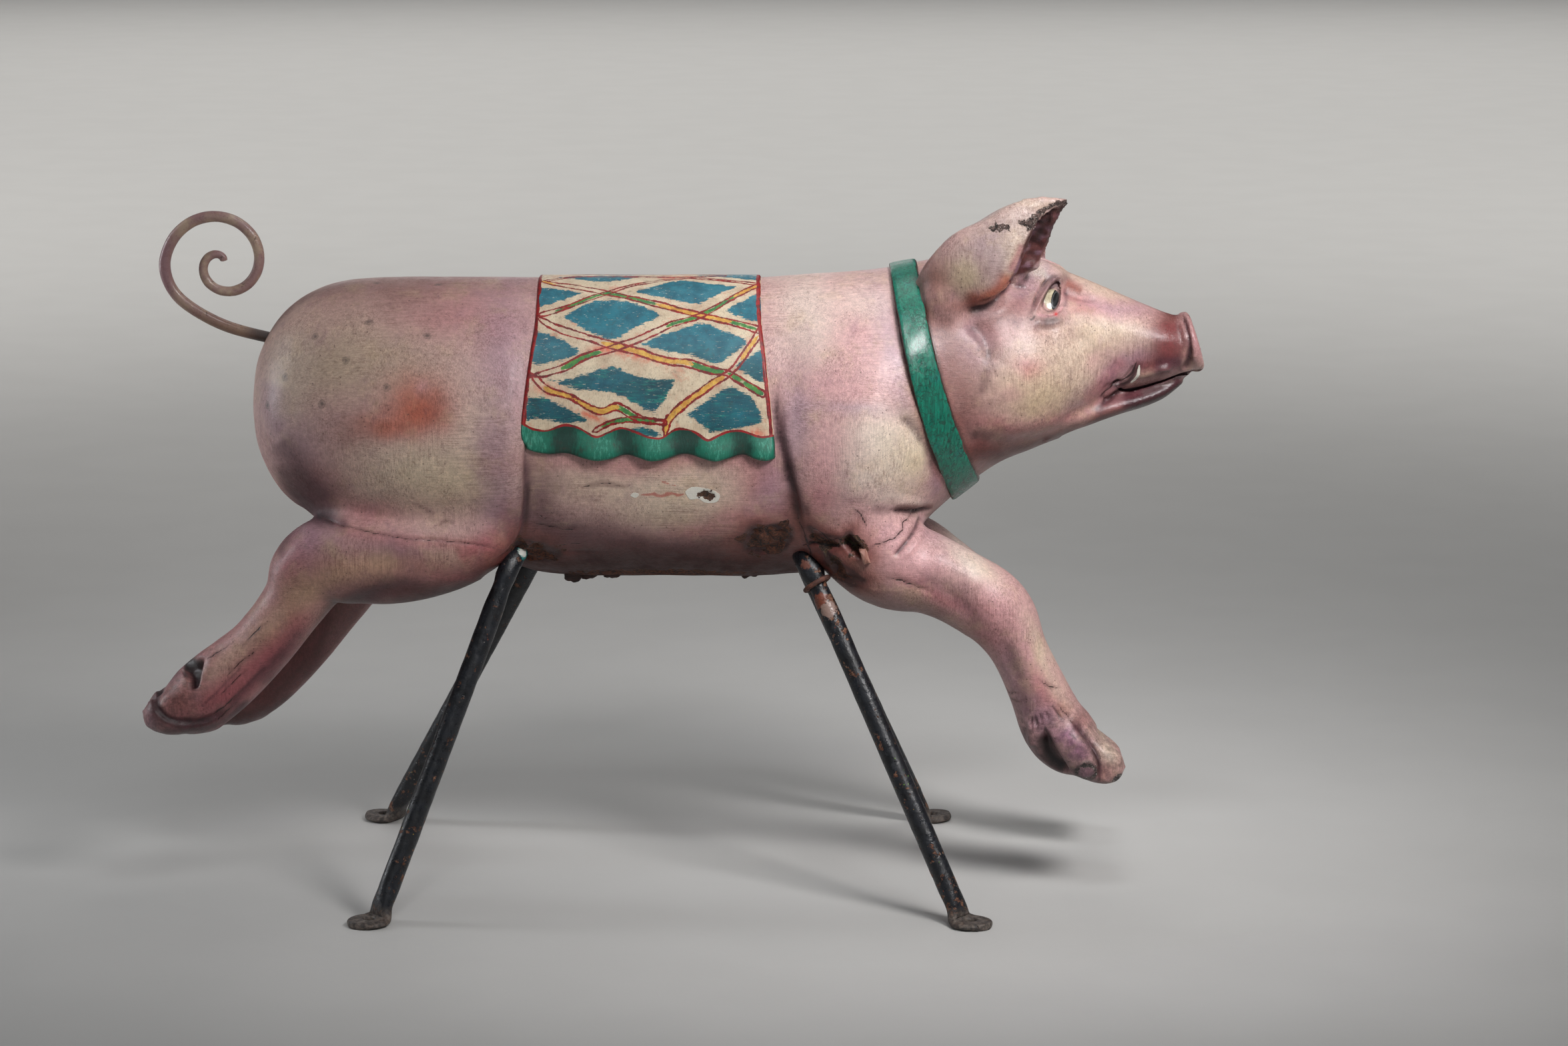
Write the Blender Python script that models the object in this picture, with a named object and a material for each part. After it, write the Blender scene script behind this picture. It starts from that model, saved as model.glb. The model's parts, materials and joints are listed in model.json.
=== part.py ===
# Carousel pig: a carved wooden pig in full leap, carried by two bent iron pipes.
# Metres, +Z up, +X is the way the pig runs, the origin is on the floor under its middle.
import math

import bmesh
import bpy
import numpy as np
from mathutils import Matrix, Vector

# ---- driving dimensions ----
CLEARANCE = 0.0003          # gap left between touching pieces
BACK_TOP = 0.7525           # height of the flat stretch of the back
BELLY_LOW = 0.381           # height of the belly's underside
LEG_OUT = 0.098             # how far each leg stands off the middle plane
CARVING_GRAIN = 0.0075      # cell size of the skin over the joined boards
CARVING_KEEP = 0.058        # share of that skin's triangles that is kept

PIPE_RADIUS = 0.0127        # one-inch tube
NECK_RADIUS = 0.0112        # the tube where it is drawn in under the belly
ELBOW_RADIUS = 0.0145       # the thicker elbow of the front stand
CROWN_HEIGHT = 0.427        # middle of the pipe where it crosses the belly
CROWN_REACH = 0.104         # where the pipe leaves the belly on each side
BEND_RADIUS = 0.030
FOOT_RADIUS = 0.0265        # round pad that the pipe's end is beaten out to
FOOT_THICKNESS = 0.008
BOLT_HOLE_RADIUS = 0.0085
PIPE_SIDES = 12
PAD_TURNS = (180, 150, 120, 90, 72)     # degrees round the pad, from its outer edge inward
# Between pad and pipe, as half width, half thickness and flatness
INSTEP = (0.0195, 0.0065, 0.8)
SHANK = (0.0145, 0.0092, 0.4)
INSTEP_IN = 0.0164          # how far the instep lies inward of the pad's middle
INSTEP_UP = 0.003
HEEL_IN = 0.0111            # where the leg's own line meets the pad
SHANK_UP = 0.020            # distances up the leg, to the shank and to the full pipe
PIPE_UP = 0.044
PIPE_PLACES = (0.0, 0.45, 0.88)     # shares of the pipe's straight length that have a ring
NECK_PLACE = 0.975          # and where the neck sits
CHANNEL_LOW = 0.34          # the pipe is clear of the carving below this height

TAIL_RADIUS = 0.0072
TAIL_TIP_RADIUS = 0.0045
TAIL_SOCKET = 0.040         # length of rod inside the rump

# Stations along the body: x, top, bottom, half width, sag (share the flanks widen downward)
BODY_STATIONS = [
    (-0.520, 0.622, 0.572, 0.022, 0.00),
    (-0.512, 0.660, 0.532, 0.060, 0.00),
    (-0.489, 0.702, 0.490, 0.098, 0.00),
    (-0.455, 0.731, 0.462, 0.126, 0.02),
    (-0.408, 0.748, 0.436, 0.148, 0.03),
    (-0.340, BACK_TOP, 0.415, 0.160, 0.04),
    (-0.260, BACK_TOP, 0.402, 0.163, 0.04),
    (-0.200, BACK_TOP, 0.396, 0.160, 0.04),
    (-0.176, BACK_TOP, 0.388, 0.149, 0.02),
    (-0.120, BACK_TOP, BELLY_LOW, 0.147, 0.01),
    (0.000, BACK_TOP, BELLY_LOW, 0.148, 0.01),
    (0.105, BACK_TOP, BELLY_LOW, 0.149, 0.01),
    (0.140, 0.755, 0.384, 0.151, 0.03),
    (0.172, 0.757, 0.386, 0.162, 0.05),
    (0.225, 0.760, 0.392, 0.168, 0.05),
    (0.275, 0.767, 0.418, 0.152, 0.05),
    (0.320, 0.776, 0.462, 0.130, 0.05),
    (0.360, 0.784, 0.496, 0.118, 0.10),
    (0.400, 0.786, 0.524, 0.112, 0.16),
    (0.440, 0.778, 0.541, 0.102, 0.18),
    (0.475, 0.763, 0.554, 0.086, 0.16),
]
HEAD_STATIONS = [
    (0.440, 0.776, 0.548, 0.098, 0.14),
    (0.470, 0.765, 0.560, 0.086, 0.14),
    (0.505, 0.751, 0.580, 0.070, 0.10),
    (0.540, 0.736, 0.606, 0.056, 0.04),
    (0.575, 0.721, 0.617, 0.047, 0.00),
    (0.605, 0.709, 0.622, 0.043, 0.00),
    (0.626, 0.706, 0.625, 0.040, 0.00),
    (0.644, 0.704, 0.628, 0.040, 0.00),
    (0.651, 0.694, 0.638, 0.032, 0.00),
]
JAW_STATIONS = [
    (0.455, 0.600, 0.548, 0.070, 0.00),
    (0.500, 0.606, 0.564, 0.056, 0.00),
    (0.545, 0.608, 0.577, 0.040, 0.00),
    (0.590, 0.612, 0.595, 0.028, 0.00),
    (0.618, 0.618, 0.606, 0.018, 0.00),
    (0.630, 0.621, 0.613, 0.010, 0.00),
]
# Stations along a limb: x, height, half width across, half depth in the side view
HIND_LEG = [
    (-0.215, 0.462, 0.044, 0.046),
    (-0.270, 0.440, 0.056, 0.056),
    (-0.330, 0.426, 0.058, 0.060),
    (-0.395, 0.422, 0.055, 0.060),
    (-0.440, 0.406, 0.048, 0.054),
    (-0.465, 0.366, 0.040, 0.041),
    (-0.504, 0.316, 0.036, 0.039),
    (-0.536, 0.285, 0.037, 0.042),
    (-0.566, 0.256, 0.042, 0.047),
    (-0.594, 0.234, 0.044, 0.045),
    (-0.616, 0.222, 0.036, 0.033),
    (-0.628, 0.217, 0.014, 0.014),
]
FORE_LEG = [
    (0.205, 0.480, 0.050, 0.068),
    (0.259, 0.421, 0.056, 0.061),
    (0.312, 0.401, 0.052, 0.050),
    (0.345, 0.386, 0.048, 0.047),
    (0.382, 0.364, 0.045, 0.047),
    (0.404, 0.341, 0.042, 0.043),
    (0.424, 0.303, 0.036, 0.035),
    (0.447, 0.254, 0.034, 0.037),
    (0.464, 0.213, 0.038, 0.043),
    (0.482, 0.188, 0.044, 0.047),
    (0.504, 0.170, 0.044, 0.040),
    (0.518, 0.162, 0.018, 0.016),
]
# Toes: x, height, half width across, half depth; each hoof has two, side by side
HIND_TOE = [(-0.580, 0.240, 0.018, 0.030), (-0.612, 0.226, 0.022, 0.031),
            (-0.637, 0.220, 0.019, 0.022), (-0.651, 0.217, 0.008, 0.009)]
FORE_TOE = [(0.492, 0.184, 0.018, 0.032), (0.514, 0.168, 0.022, 0.031),
            (0.538, 0.156, 0.019, 0.023), (0.551, 0.150, 0.008, 0.010)]
TOE_SPREAD = 0.0215         # distance of each toe from the leg's own middle
# The far legs are not carved as mirror images: they reach lower than the near ones
FAR_HIND_SHIFT = (0.029, -0.038)
FAR_FORE_SHIFT = (0.010, -0.044)
SHIFTED_BY = 0.45           # share of a far leg's length over which it moves to its own place

# Ear, from inside the head to the tip. Each row holds the fold, the outer rim and the
# inner rim, each as x, distance from the middle plane and height.
EAR = [
    ((0.302, 0.050, 0.745), (0.346, 0.080, 0.704), (0.400, 0.030, 0.715)),
    ((0.318, 0.078, 0.774), (0.364, 0.108, 0.724), (0.410, 0.044, 0.738)),
    ((0.342, 0.094, 0.815), (0.394, 0.122, 0.746), (0.430, 0.054, 0.760)),
    ((0.374, 0.100, 0.837), (0.410, 0.126, 0.772), (0.444, 0.056, 0.780)),
    ((0.408, 0.100, 0.856), (0.422, 0.122, 0.803), (0.454, 0.064, 0.800)),
    ((0.444, 0.096, 0.864), (0.438, 0.112, 0.840), (0.464, 0.078, 0.830)),
    ((0.478, 0.091, 0.860), (0.462, 0.099, 0.854), (0.474, 0.088, 0.850)),
]
EAR_WALL = 0.012
EAR_THINNEST = 0.6          # the wall is never more than this share of the cup's depth
FAR_EAR_SHIFT = (-0.010, -0.024)

BLANKET_BACK = -0.180
BLANKET_FRONT = 0.118
BLANKET_PROUD = 0.003       # how far the carved cloth stands off the flank
BLANKET_DROP = 0.585        # height where the cloth ends and the hem begins
HEM_PROUD = 0.009
HEM_LOW = 0.553
HEM_LOBES = 4
HEM_WAVE = 0.010            # how far the hem rises between its lobes
HEM_THINS = 0.003           # how much less it stands off there
CLOTH_ROOT = 0.012          # depth to which cloth and hem reach into the body
COLLAR_TOP = (0.281, 0.7665)
COLLAR_LOW = (0.359, 0.494)
COLLAR_WIDTH = 0.035
COLLAR_PROUD = 0.006
COLLAR_ROOT = 0.016         # depth to which the band reaches into the neck
COLLAR_BOW = 0.010          # how far the band bows back at mid height
COLLAR_SIDES = 32
# Section of the band: share of its width, height off the neck
COLLAR_SECTION = [(-0.5, 0.7 * COLLAR_PROUD), (-0.3, COLLAR_PROUD), (0.3, COLLAR_PROUD),
                  (0.5, 0.7 * COLLAR_PROUD), (0.5, -COLLAR_ROOT), (-0.5, -COLLAR_ROOT)]

# Stands: for each leg the x where it meets the belly, and its foot's place on the floor
REAR_STAND = {"near": (-0.195, -0.367, -0.250), "far": (-0.158, -0.392, 0.246),
              "elbow": PIPE_RADIUS}
FRONT_STAND = {"near": (0.158, 0.359, -0.256), "far": (0.135, 0.328, 0.244),
               "elbow": ELBOW_RADIUS}

RING_RADIUS = 0.0157        # middle of the bar of the loose link on the front stand
RING_BAR = 0.0034
RING_LEAN = -0.13           # how far the link's axis leans from the pipe's, as a slope
RING_STEPS = 16
RING_SIDES = 6

# Tail: one long run out of the rump, then a spiral that tightens evenly
TAIL_CENTRE = (-0.5575, 0.770)
TAIL_OUTER = 0.070
TAIL_CLOSES = 0.0485        # how much the spiral's radius shrinks in one turn
TAIL_SWEEP = 490            # degrees from its rearmost point to the tip
TAIL_RUN = [(-0.552, 0.6920), (-0.597, 0.7160), (-0.620, 0.740)]
TAIL_ROOT = (-0.492, 0.676)
TAIL_DIP = 13.5             # the rod enters the rump at this many degrees below level
TAIL_SIDES = 8
TAIL_SLACK = 0.002          # the socket is this much deeper than the rod


def clear_scene():
    for item in list(bpy.data.objects):
        bpy.data.objects.remove(item, do_unlink=True)


def material(name, colour, roughness, metallic=0.0):
    made = bpy.data.materials.new(name)
    made.use_nodes = True
    shader = made.node_tree.nodes["Principled BSDF"]
    shader.inputs["Base Color"].default_value = (*colour, 1.0)
    shader.inputs["Roughness"].default_value = roughness
    shader.inputs["Metallic"].default_value = metallic
    return made


def between(rows, count):
    """Rows of numbers spread evenly along a smooth curve through the given rows."""
    rows = np.array(rows, dtype=float)
    ends = np.vstack([2 * rows[0] - rows[1], rows, 2 * rows[-1] - rows[-2]])
    out = []
    for step in np.linspace(0, len(rows) - 1, count):
        i = min(int(step), len(rows) - 2)
        t = step - i
        a, b, c, d = ends[i:i + 4]
        out.append(0.5 * (2 * b + (c - a) * t + (2 * a - 5 * b + 4 * c - d) * t * t
                          + (3 * b - a - 3 * c + d) * t ** 3))
    return np.array(out)


def skin(mesh, rings):
    """Bridge closed rings of equal count and close both ends with a fan."""
    loops = [[mesh.verts.new(point) for point in ring] for ring in rings]
    count = len(loops[0])
    for low, high in zip(loops, loops[1:]):
        for i in range(count):
            j = (i + 1) % count
            mesh.faces.new((low[i], low[j], high[j], high[i]))
    for loop, turned in ((loops[0], True), (loops[-1], False)):
        middle = mesh.verts.new(sum((v.co for v in loop), Vector()) / count)
        for i in range(count):
            j = (i + 1) % count
            corners = (loop[j], loop[i], middle) if turned else (loop[i], loop[j], middle)
            mesh.faces.new(corners)


def closed_tube(mesh, loops_of_points):
    """Join rings in a circle, so that the tube has no ends."""
    loops = [[mesh.verts.new(point) for point in ring] for ring in loops_of_points]
    for i, loop in enumerate(loops):
        after = loops[(i + 1) % len(loops)]
        for k in range(len(loop)):
            m = (k + 1) % len(loop)
            mesh.faces.new((loop[k], loop[m], after[m], after[k]))


def body_ring(station, sides):
    """Cross-section of the body at one station, wider toward the bottom by its sag."""
    x, top, bottom, half, sag = station
    middle = (top + bottom) / 2
    height = (top - bottom) / 2
    ring = []
    for i in range(sides):
        angle = 2 * math.pi * i / sides
        side = math.sin(angle)
        y = half * (1 - sag * side) * math.cos(angle)
        ring.append((x, y, middle + height * side))
    return ring


def body_bulk(mesh, stations, count, sides):
    rows = between(stations, count)
    skin(mesh, [body_ring(row, sides) for row in rows])


def limb(mesh, stations, y, shift=(0.0, 0.0), count=36, sides=20):
    """A leg: rings square to a smooth path that stays at one distance from the middle."""
    rows = between(stations, count)
    rings = []
    for i, (x, z, half, depth) in enumerate(rows):
        ahead = rows[min(i + 1, count - 1)]
        behind = rows[max(i - 1, 0)]
        run = Vector((ahead[0] - behind[0], 0, ahead[1] - behind[1])).normalized()
        out = Vector((-run.z, 0, run.x))
        reach = min(1.0, i / (count * SHIFTED_BY))
        middle = Vector((x + shift[0] * reach, y, z + shift[1] * reach))
        ring = []
        for k in range(sides):
            angle = 2 * math.pi * k / sides
            across = Vector((0, half * math.cos(angle), 0))
            ring.append(middle + across + out * depth * math.sin(angle))
        rings.append(ring)
    skin(mesh, rings)


def ear(mesh, side, shift=(0.0, 0.0), count=18, half=9):
    """A cupped leaf: each ring runs from rim to rim over the fold and back inside."""
    flat = [sum(row, ()) for row in EAR]
    rings = []
    for row in between(flat, count):
        fold, outer, inner = (Vector((x + shift[0], side * y, z + shift[1]))
                              for x, y, z in row.reshape(3, 3))
        depth = (outer + inner) / 2 - fold
        width = (inner - outer) / 2
        outside = []
        inside = []
        for t in np.linspace(-1, 1, half):
            turn = t * math.pi / 2
            place = fold + depth * (1 - math.cos(turn)) + width * math.sin(turn)
            outside.append(place)
            normal = (depth.normalized() * math.cos(turn) - width.normalized() * math.sin(turn))
            inside.append(place + normal * min(EAR_WALL, EAR_THINNEST * depth.length))
        rings.append(outside + inside[::-1])
    skin(mesh, rings)


def toes(mesh, stations, y, shift=(0.0, 0.0)):
    for spread in (-TOE_SPREAD, TOE_SPREAD):
        moved = [(x + shift[0], z + shift[1], half, depth) for x, z, half, depth in stations]
        limb(mesh, moved, y + spread, count=12, sides=12)


def mesh_object(name, mesh, finish=None, guide=False):
    bmesh.ops.recalc_face_normals(mesh, faces=mesh.faces)
    data = bpy.data.meshes.new(name)
    mesh.to_mesh(data)
    mesh.free()
    made = bpy.data.objects.new(name, data)
    bpy.context.scene.collection.objects.link(made)
    if finish:
        data.materials.append(finish)
    if guide:
        made.hide_render = True
        made.display_type = "WIRE"
    data.shade_smooth()
    data.set_sharp_from_angle(angle=math.radians(40))
    return made


def station_at(x):
    """Cross-section values of the body at any x, read from the smooth stations."""
    rows = between(BODY_STATIONS, 400)
    return [x] + [float(np.interp(x, rows[:, 0], rows[:, k])) for k in range(1, 5)]


def flank_angle(station, z):
    """Angle on the ring of a station where its height is z."""
    middle = (station[1] + station[2]) / 2
    height = (station[1] - station[2]) / 2
    return math.asin(max(-1.0, min(1.0, (z - middle) / height)))


def wrap(mesh, xs, low, proud, steps=17):
    """A closed shell that follows the body over its back from flank to flank."""
    rings = []
    for x in xs:
        station = station_at(x)
        start = flank_angle(station, low)
        middle = (station[1] + station[2]) / 2
        height = (station[1] - station[2]) / 2
        outer = []
        inner = []
        for angle in np.linspace(start, math.pi - start, steps):
            side = math.sin(angle)
            for shell, off in ((outer, proud), (inner, -CLOTH_ROOT)):
                y = (station[3] * (1 - station[4] * side) + off) * math.cos(angle)
                shell.append((x, y, middle + (height + off) * side))
        rings.append(outer + inner[::-1])
    skin(mesh, rings)


def hem_section(x, side):
    """Four corners of the hem at one place along it, on one flank."""
    turns = HEM_LOBES * (x - BLANKET_BACK) / (BLANKET_FRONT - BLANKET_BACK)
    between_lobes = 0.5 + 0.5 * math.cos(2 * math.pi * turns)
    station = station_at(x)
    low = HEM_LOW + HEM_WAVE * between_lobes
    proud = HEM_PROUD - HEM_THINS * between_lobes
    corners = []
    for z, off in ((BLANKET_DROP, BLANKET_PROUD), (low, proud),
                   (low, -CLOTH_ROOT), (BLANKET_DROP, -CLOTH_ROOT)):
        angle = flank_angle(station, z)
        reach = station[3] * (1 - station[4] * math.sin(angle)) + off
        corners.append((x, side * reach * math.cos(angle), z))
    return corners


def blanket_shape():
    """The carved saddle cloth: a thin raised field with a thicker, lobed hem below."""
    cloth = bmesh.new()
    wrap(cloth, np.linspace(BLANKET_BACK, BLANKET_FRONT, 8), BLANKET_DROP - CLOTH_ROOT, BLANKET_PROUD)
    shapes = [mesh_object("cloth_shape", cloth, guide=True)]
    for name, side in (("hem_shape_near", -1), ("hem_shape_far", 1)):
        hem = bmesh.new()
        along = np.linspace(BLANKET_BACK, BLANKET_FRONT, 5 * HEM_LOBES + 1)
        skin(hem, [hem_section(x, side) for x in along])
        shapes.append(mesh_object(name, hem, guide=True))
    return shapes


def collar_shape():
    """A flat band round the neck, in a plane that leans forward at the throat."""
    top = Vector((COLLAR_TOP[0], 0, COLLAR_TOP[1]))
    low = Vector((COLLAR_LOW[0], 0, COLLAR_LOW[1]))
    down = (low - top).normalized()
    along = Vector((-down.z, 0, down.x))
    rings = []
    for i in range(COLLAR_SIDES):
        angle = 2 * math.pi * i / COLLAR_SIDES
        share = 0.5 - 0.5 * math.sin(angle)
        spine = top.lerp(low, share)
        x = spine.x - COLLAR_BOW * math.sin(math.pi * share)
        station = station_at(x)
        rise = math.sin(flank_angle(station, spine.z))
        y = station[3] * (1 - station[4] * rise) * math.cos(angle)
        out = Vector((0, math.cos(angle), 0)) - down * math.sin(angle)
        rings.append([Vector((x, y, spine.z)) + along * share_across * COLLAR_WIDTH + out * off
                      for share_across, off in COLLAR_SECTION])
    band = bmesh.new()
    closed_tube(band, rings)
    return mesh_object("collar_shape", band, guide=True)


def stand_path(plan):
    """Spine of one bent pipe from the near foot over the crown to the far foot.
    Each row is a place, the pipe's half width and half thickness there, and how flat it is."""
    crowns = {}
    for side, out in (("near", -1), ("far", 1)):
        crowns[side] = Vector((plan[side][0], out * CROWN_REACH, CROWN_HEIGHT))
    halves = []
    for side, other in (("near", "far"), ("far", "near")):
        crown = crowns[side]
        foot = Vector((plan[side][1], plan[side][2], FOOT_THICKNESS / 2))
        inward = Vector((crown.x - foot.x, crown.y - foot.y, 0)).normalized()
        leg = (crown - foot).normalized()
        half = []
        for turn in PAD_TURNS:
            angle = math.radians(turn)
            half.append((foot + inward * FOOT_RADIUS * math.cos(angle),
                         FOOT_RADIUS * max(0.25, math.sin(angle)), FOOT_THICKNESS / 2, 1.0))
        half.append((foot + inward * INSTEP_IN + Vector((0, 0, INSTEP_UP)), *INSTEP))
        heel = foot + inward * HEEL_IN
        half.append((heel + leg * SHANK_UP, *SHANK))
        start = heel + leg * PIPE_UP
        bend_in = crown - leg * BEND_RADIUS
        for share in PIPE_PLACES:
            half.append((start.lerp(bend_in, share), PIPE_RADIUS, PIPE_RADIUS, 0.0))
        half.append((start.lerp(bend_in, NECK_PLACE), NECK_RADIUS, NECK_RADIUS, 0.0))
        level = (crowns[other] - crown).normalized()
        bend_out = crown + level * BEND_RADIUS
        elbow = plan["elbow"]
        for t in np.linspace(0, 1, 5):
            place = bend_in * (1 - t) ** 2 + crown * 2 * t * (1 - t) + bend_out * t * t
            half.append((place, elbow, elbow, 0.0))
        halves.append(half)
    near, far = halves
    return near + far[::-1]


def pipe_rings(rows, extra=0.0):
    rings = []
    for i, (place, wide, thick, flat) in enumerate(rows):
        run = (rows[min(i + 1, len(rows) - 1)][0] - rows[max(i - 1, 0)][0]).normalized()
        side = run.cross(Vector((0, 0, 1))).normalized()
        up = side.cross(run)
        ring = []
        for k in range(PIPE_SIDES):
            angle = 2 * math.pi * k / PIPE_SIDES
            lift = math.sin(angle)
            pressed = max(-1.0, min(1.0, lift * 1.6))
            lift = lift * (1 - flat) + pressed * flat
            across = side * (wide + extra) * math.cos(angle)
            ring.append(place + across + up * (thick + extra) * lift)
        rings.append(ring)
    return rings


def split_quads(mesh):
    """Cut every quad on the same diagonal, so that a pipe and its channel stay parallel."""
    bmesh.ops.triangulate(mesh, faces=mesh.faces, quad_method="FIXED")


def stand(name, plan, finish):
    rows = stand_path(plan)
    mesh = bmesh.new()
    skin(mesh, pipe_rings(rows))
    split_quads(mesh)
    made = mesh_object(name, mesh, finish)
    holes = bmesh.new()
    for side in ("near", "far"):
        place = Matrix.Translation((*plan[side][1:], FOOT_THICKNESS / 2))
        bmesh.ops.create_cone(holes, cap_ends=True, segments=16, radius1=BOLT_HOLE_RADIUS,
                              radius2=BOLT_HOLE_RADIUS, depth=FOOT_THICKNESS * 3, matrix=place)
    cutter = mesh_object(name + "_holes", holes, guide=True)
    boolean(made, "DIFFERENCE", cutter)
    channel = bmesh.new()
    wider = pipe_rings(rows, CLEARANCE)
    skin(channel, [ring for ring, row in zip(wider, rows) if row[0].z > CHANNEL_LOW])
    split_quads(channel)
    return made, mesh_object(name + "_channel", channel, guide=True)


def boolean(target, operation, other):
    step = target.modifiers.new(operation.title() + " " + other.name, "BOOLEAN")
    step.operation = operation
    step.solver = "EXACT"
    step.object = other


def tail_path(count=56):
    """Points from inside the rump, up round the outer turn and in to the tip."""
    centre = Vector((TAIL_CENTRE[0], 0, TAIL_CENTRE[1]))
    root = Vector((TAIL_ROOT[0], 0, TAIL_ROOT[1]))
    dip = math.radians(-TAIL_DIP)
    inward = Vector((math.cos(dip), 0, math.sin(dip)))
    route = [root + inward * TAIL_SOCKET, root]
    route += [Vector((x, 0, z)) for x, z in TAIL_RUN]
    for turned in np.linspace(0, TAIL_SWEEP, 19):
        angle = math.radians(180 - turned)
        radius = TAIL_OUTER - TAIL_CLOSES * turned / 360
        route.append(centre + Vector((math.cos(angle), 0, math.sin(angle))) * radius)
    return [Vector(point) for point in between([tuple(p) for p in route], count)]


def tube(mesh, points, radii, sides):
    rings = []
    for i, point in enumerate(points):
        run = (points[min(i + 1, len(points) - 1)] - points[max(i - 1, 0)]).normalized()
        side = Vector((0, 1, 0))
        up = side.cross(run)
        rings.append([point + (side * math.cos(a) + up * math.sin(a)) * radii[i]
                      for a in (2 * math.pi * k / sides for k in range(sides))])
    skin(mesh, rings)


def tail(finish):
    points = tail_path()
    shares = [i / (len(points) - 1) for i in range(len(points))]
    radii = [TAIL_RADIUS + (TAIL_TIP_RADIUS - TAIL_RADIUS) * share ** 2 for share in shares]
    rod = bmesh.new()
    tube(rod, points, radii, TAIL_SIDES)
    made = mesh_object("tail", rod, finish)
    hole = bmesh.new()
    inside = points[:6]
    run = (inside[0] - inside[1]).normalized()
    inside = [inside[0] + run * TAIL_SLACK] + inside[1:]
    tube(hole, inside, [TAIL_RADIUS + CLEARANCE] * len(inside), TAIL_SIDES)
    return made, mesh_object("tail_socket", hole, guide=True)


def iron_ring(finish):
    """A loose link on the front pipe's neck, a little askew to it."""
    crown_x, foot_x, foot_y = FRONT_STAND["near"]
    leg = Vector((crown_x - foot_x, -CROWN_REACH - foot_y, CROWN_HEIGHT)).normalized()
    necks = [place for place, wide, *rest in stand_path(FRONT_STAND) if wide == NECK_RADIUS]
    neck = min(necks, key=lambda place: place.y)
    axis = (leg + Vector((RING_LEAN, 0, 0))).normalized()
    side = axis.cross(Vector((0, 1, 0))).normalized()
    over = axis.cross(side)
    turns = [2 * math.pi * k / RING_SIDES for k in range(RING_SIDES)]
    rings = []
    for i in range(RING_STEPS):
        angle = 2 * math.pi * i / RING_STEPS
        out = side * math.cos(angle) + over * math.sin(angle)
        rings.append([neck + out * (RING_RADIUS + RING_BAR * math.cos(turn))
                      + axis * RING_BAR * math.sin(turn) for turn in turns])
    link = bmesh.new()
    closed_tube(link, rings)
    return mesh_object("iron_ring", link, finish)


def pig(finish, channels):
    carving = bmesh.new()
    body_bulk(carving, BODY_STATIONS, count=60, sides=40)
    body_bulk(carving, HEAD_STATIONS, count=26, sides=32)
    body_bulk(carving, JAW_STATIONS, count=16, sides=20)
    limb(carving, HIND_LEG, -LEG_OUT)
    limb(carving, HIND_LEG, LEG_OUT, FAR_HIND_SHIFT)
    limb(carving, FORE_LEG, -LEG_OUT)
    limb(carving, FORE_LEG, LEG_OUT, FAR_FORE_SHIFT)
    toes(carving, HIND_TOE, -LEG_OUT)
    toes(carving, HIND_TOE, LEG_OUT, FAR_HIND_SHIFT)
    toes(carving, FORE_TOE, -LEG_OUT)
    toes(carving, FORE_TOE, LEG_OUT, FAR_FORE_SHIFT)
    ear(carving, -1)
    ear(carving, 1, FAR_EAR_SHIFT)
    made = mesh_object("pig", carving, finish)
    grain = made.modifiers.new("Join boards", "REMESH")
    grain.mode = "VOXEL"
    grain.voxel_size = CARVING_GRAIN
    grain.adaptivity = 0.0
    soften = made.modifiers.new("Round over", "SMOOTH")
    soften.factor = 0.5
    soften.iterations = 4
    fewer = made.modifiers.new("Fewer facets", "DECIMATE")
    fewer.ratio = CARVING_KEEP
    for shape in blanket_shape() + [collar_shape()]:
        boolean(made, "UNION", shape)
    for channel in channels:
        boolean(made, "DIFFERENCE", channel)
    return made


def main():
    clear_scene()
    painted_wood = material("painted wood", (0.52, 0.36, 0.33), 0.45)
    black_iron = material("black iron", (0.02, 0.02, 0.025), 0.40, 0.6)
    rusty_iron = material("rusty iron", (0.10, 0.05, 0.035), 0.80, 0.3)
    painted_iron = material("painted iron", (0.38, 0.26, 0.22), 0.50, 0.2)
    rear, rear_channel = stand("rear_stand", REAR_STAND, black_iron)
    front, front_channel = stand("front_stand", FRONT_STAND, black_iron)
    rod, socket = tail(painted_iron)
    iron_ring(rusty_iron)
    pig(painted_wood, [rear_channel, front_channel, socket])


main()
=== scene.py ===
import contextlib
import json
import math
import time

import bmesh
import bpy
import numpy as np
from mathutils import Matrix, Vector, noise
from mathutils.bvhtree import BVHTree

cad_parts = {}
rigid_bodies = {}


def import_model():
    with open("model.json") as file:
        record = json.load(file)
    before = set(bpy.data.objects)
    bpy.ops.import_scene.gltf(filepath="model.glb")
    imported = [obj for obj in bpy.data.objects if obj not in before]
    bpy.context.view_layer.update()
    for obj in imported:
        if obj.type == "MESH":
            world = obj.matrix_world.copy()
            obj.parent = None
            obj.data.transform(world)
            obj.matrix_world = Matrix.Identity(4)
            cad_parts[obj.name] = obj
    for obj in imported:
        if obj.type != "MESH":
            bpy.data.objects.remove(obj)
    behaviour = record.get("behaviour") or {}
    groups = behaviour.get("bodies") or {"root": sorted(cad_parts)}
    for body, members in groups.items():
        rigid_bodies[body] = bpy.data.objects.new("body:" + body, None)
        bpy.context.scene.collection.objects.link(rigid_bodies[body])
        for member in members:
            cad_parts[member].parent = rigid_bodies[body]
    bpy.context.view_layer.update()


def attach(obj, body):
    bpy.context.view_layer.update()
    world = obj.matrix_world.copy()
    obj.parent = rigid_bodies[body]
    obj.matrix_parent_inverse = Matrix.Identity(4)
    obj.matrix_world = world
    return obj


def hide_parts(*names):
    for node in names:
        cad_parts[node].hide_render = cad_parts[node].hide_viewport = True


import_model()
started = time.time()


def report(stage):
    print(f"[{time.time() - started:6.1f} s] {stage}")


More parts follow.
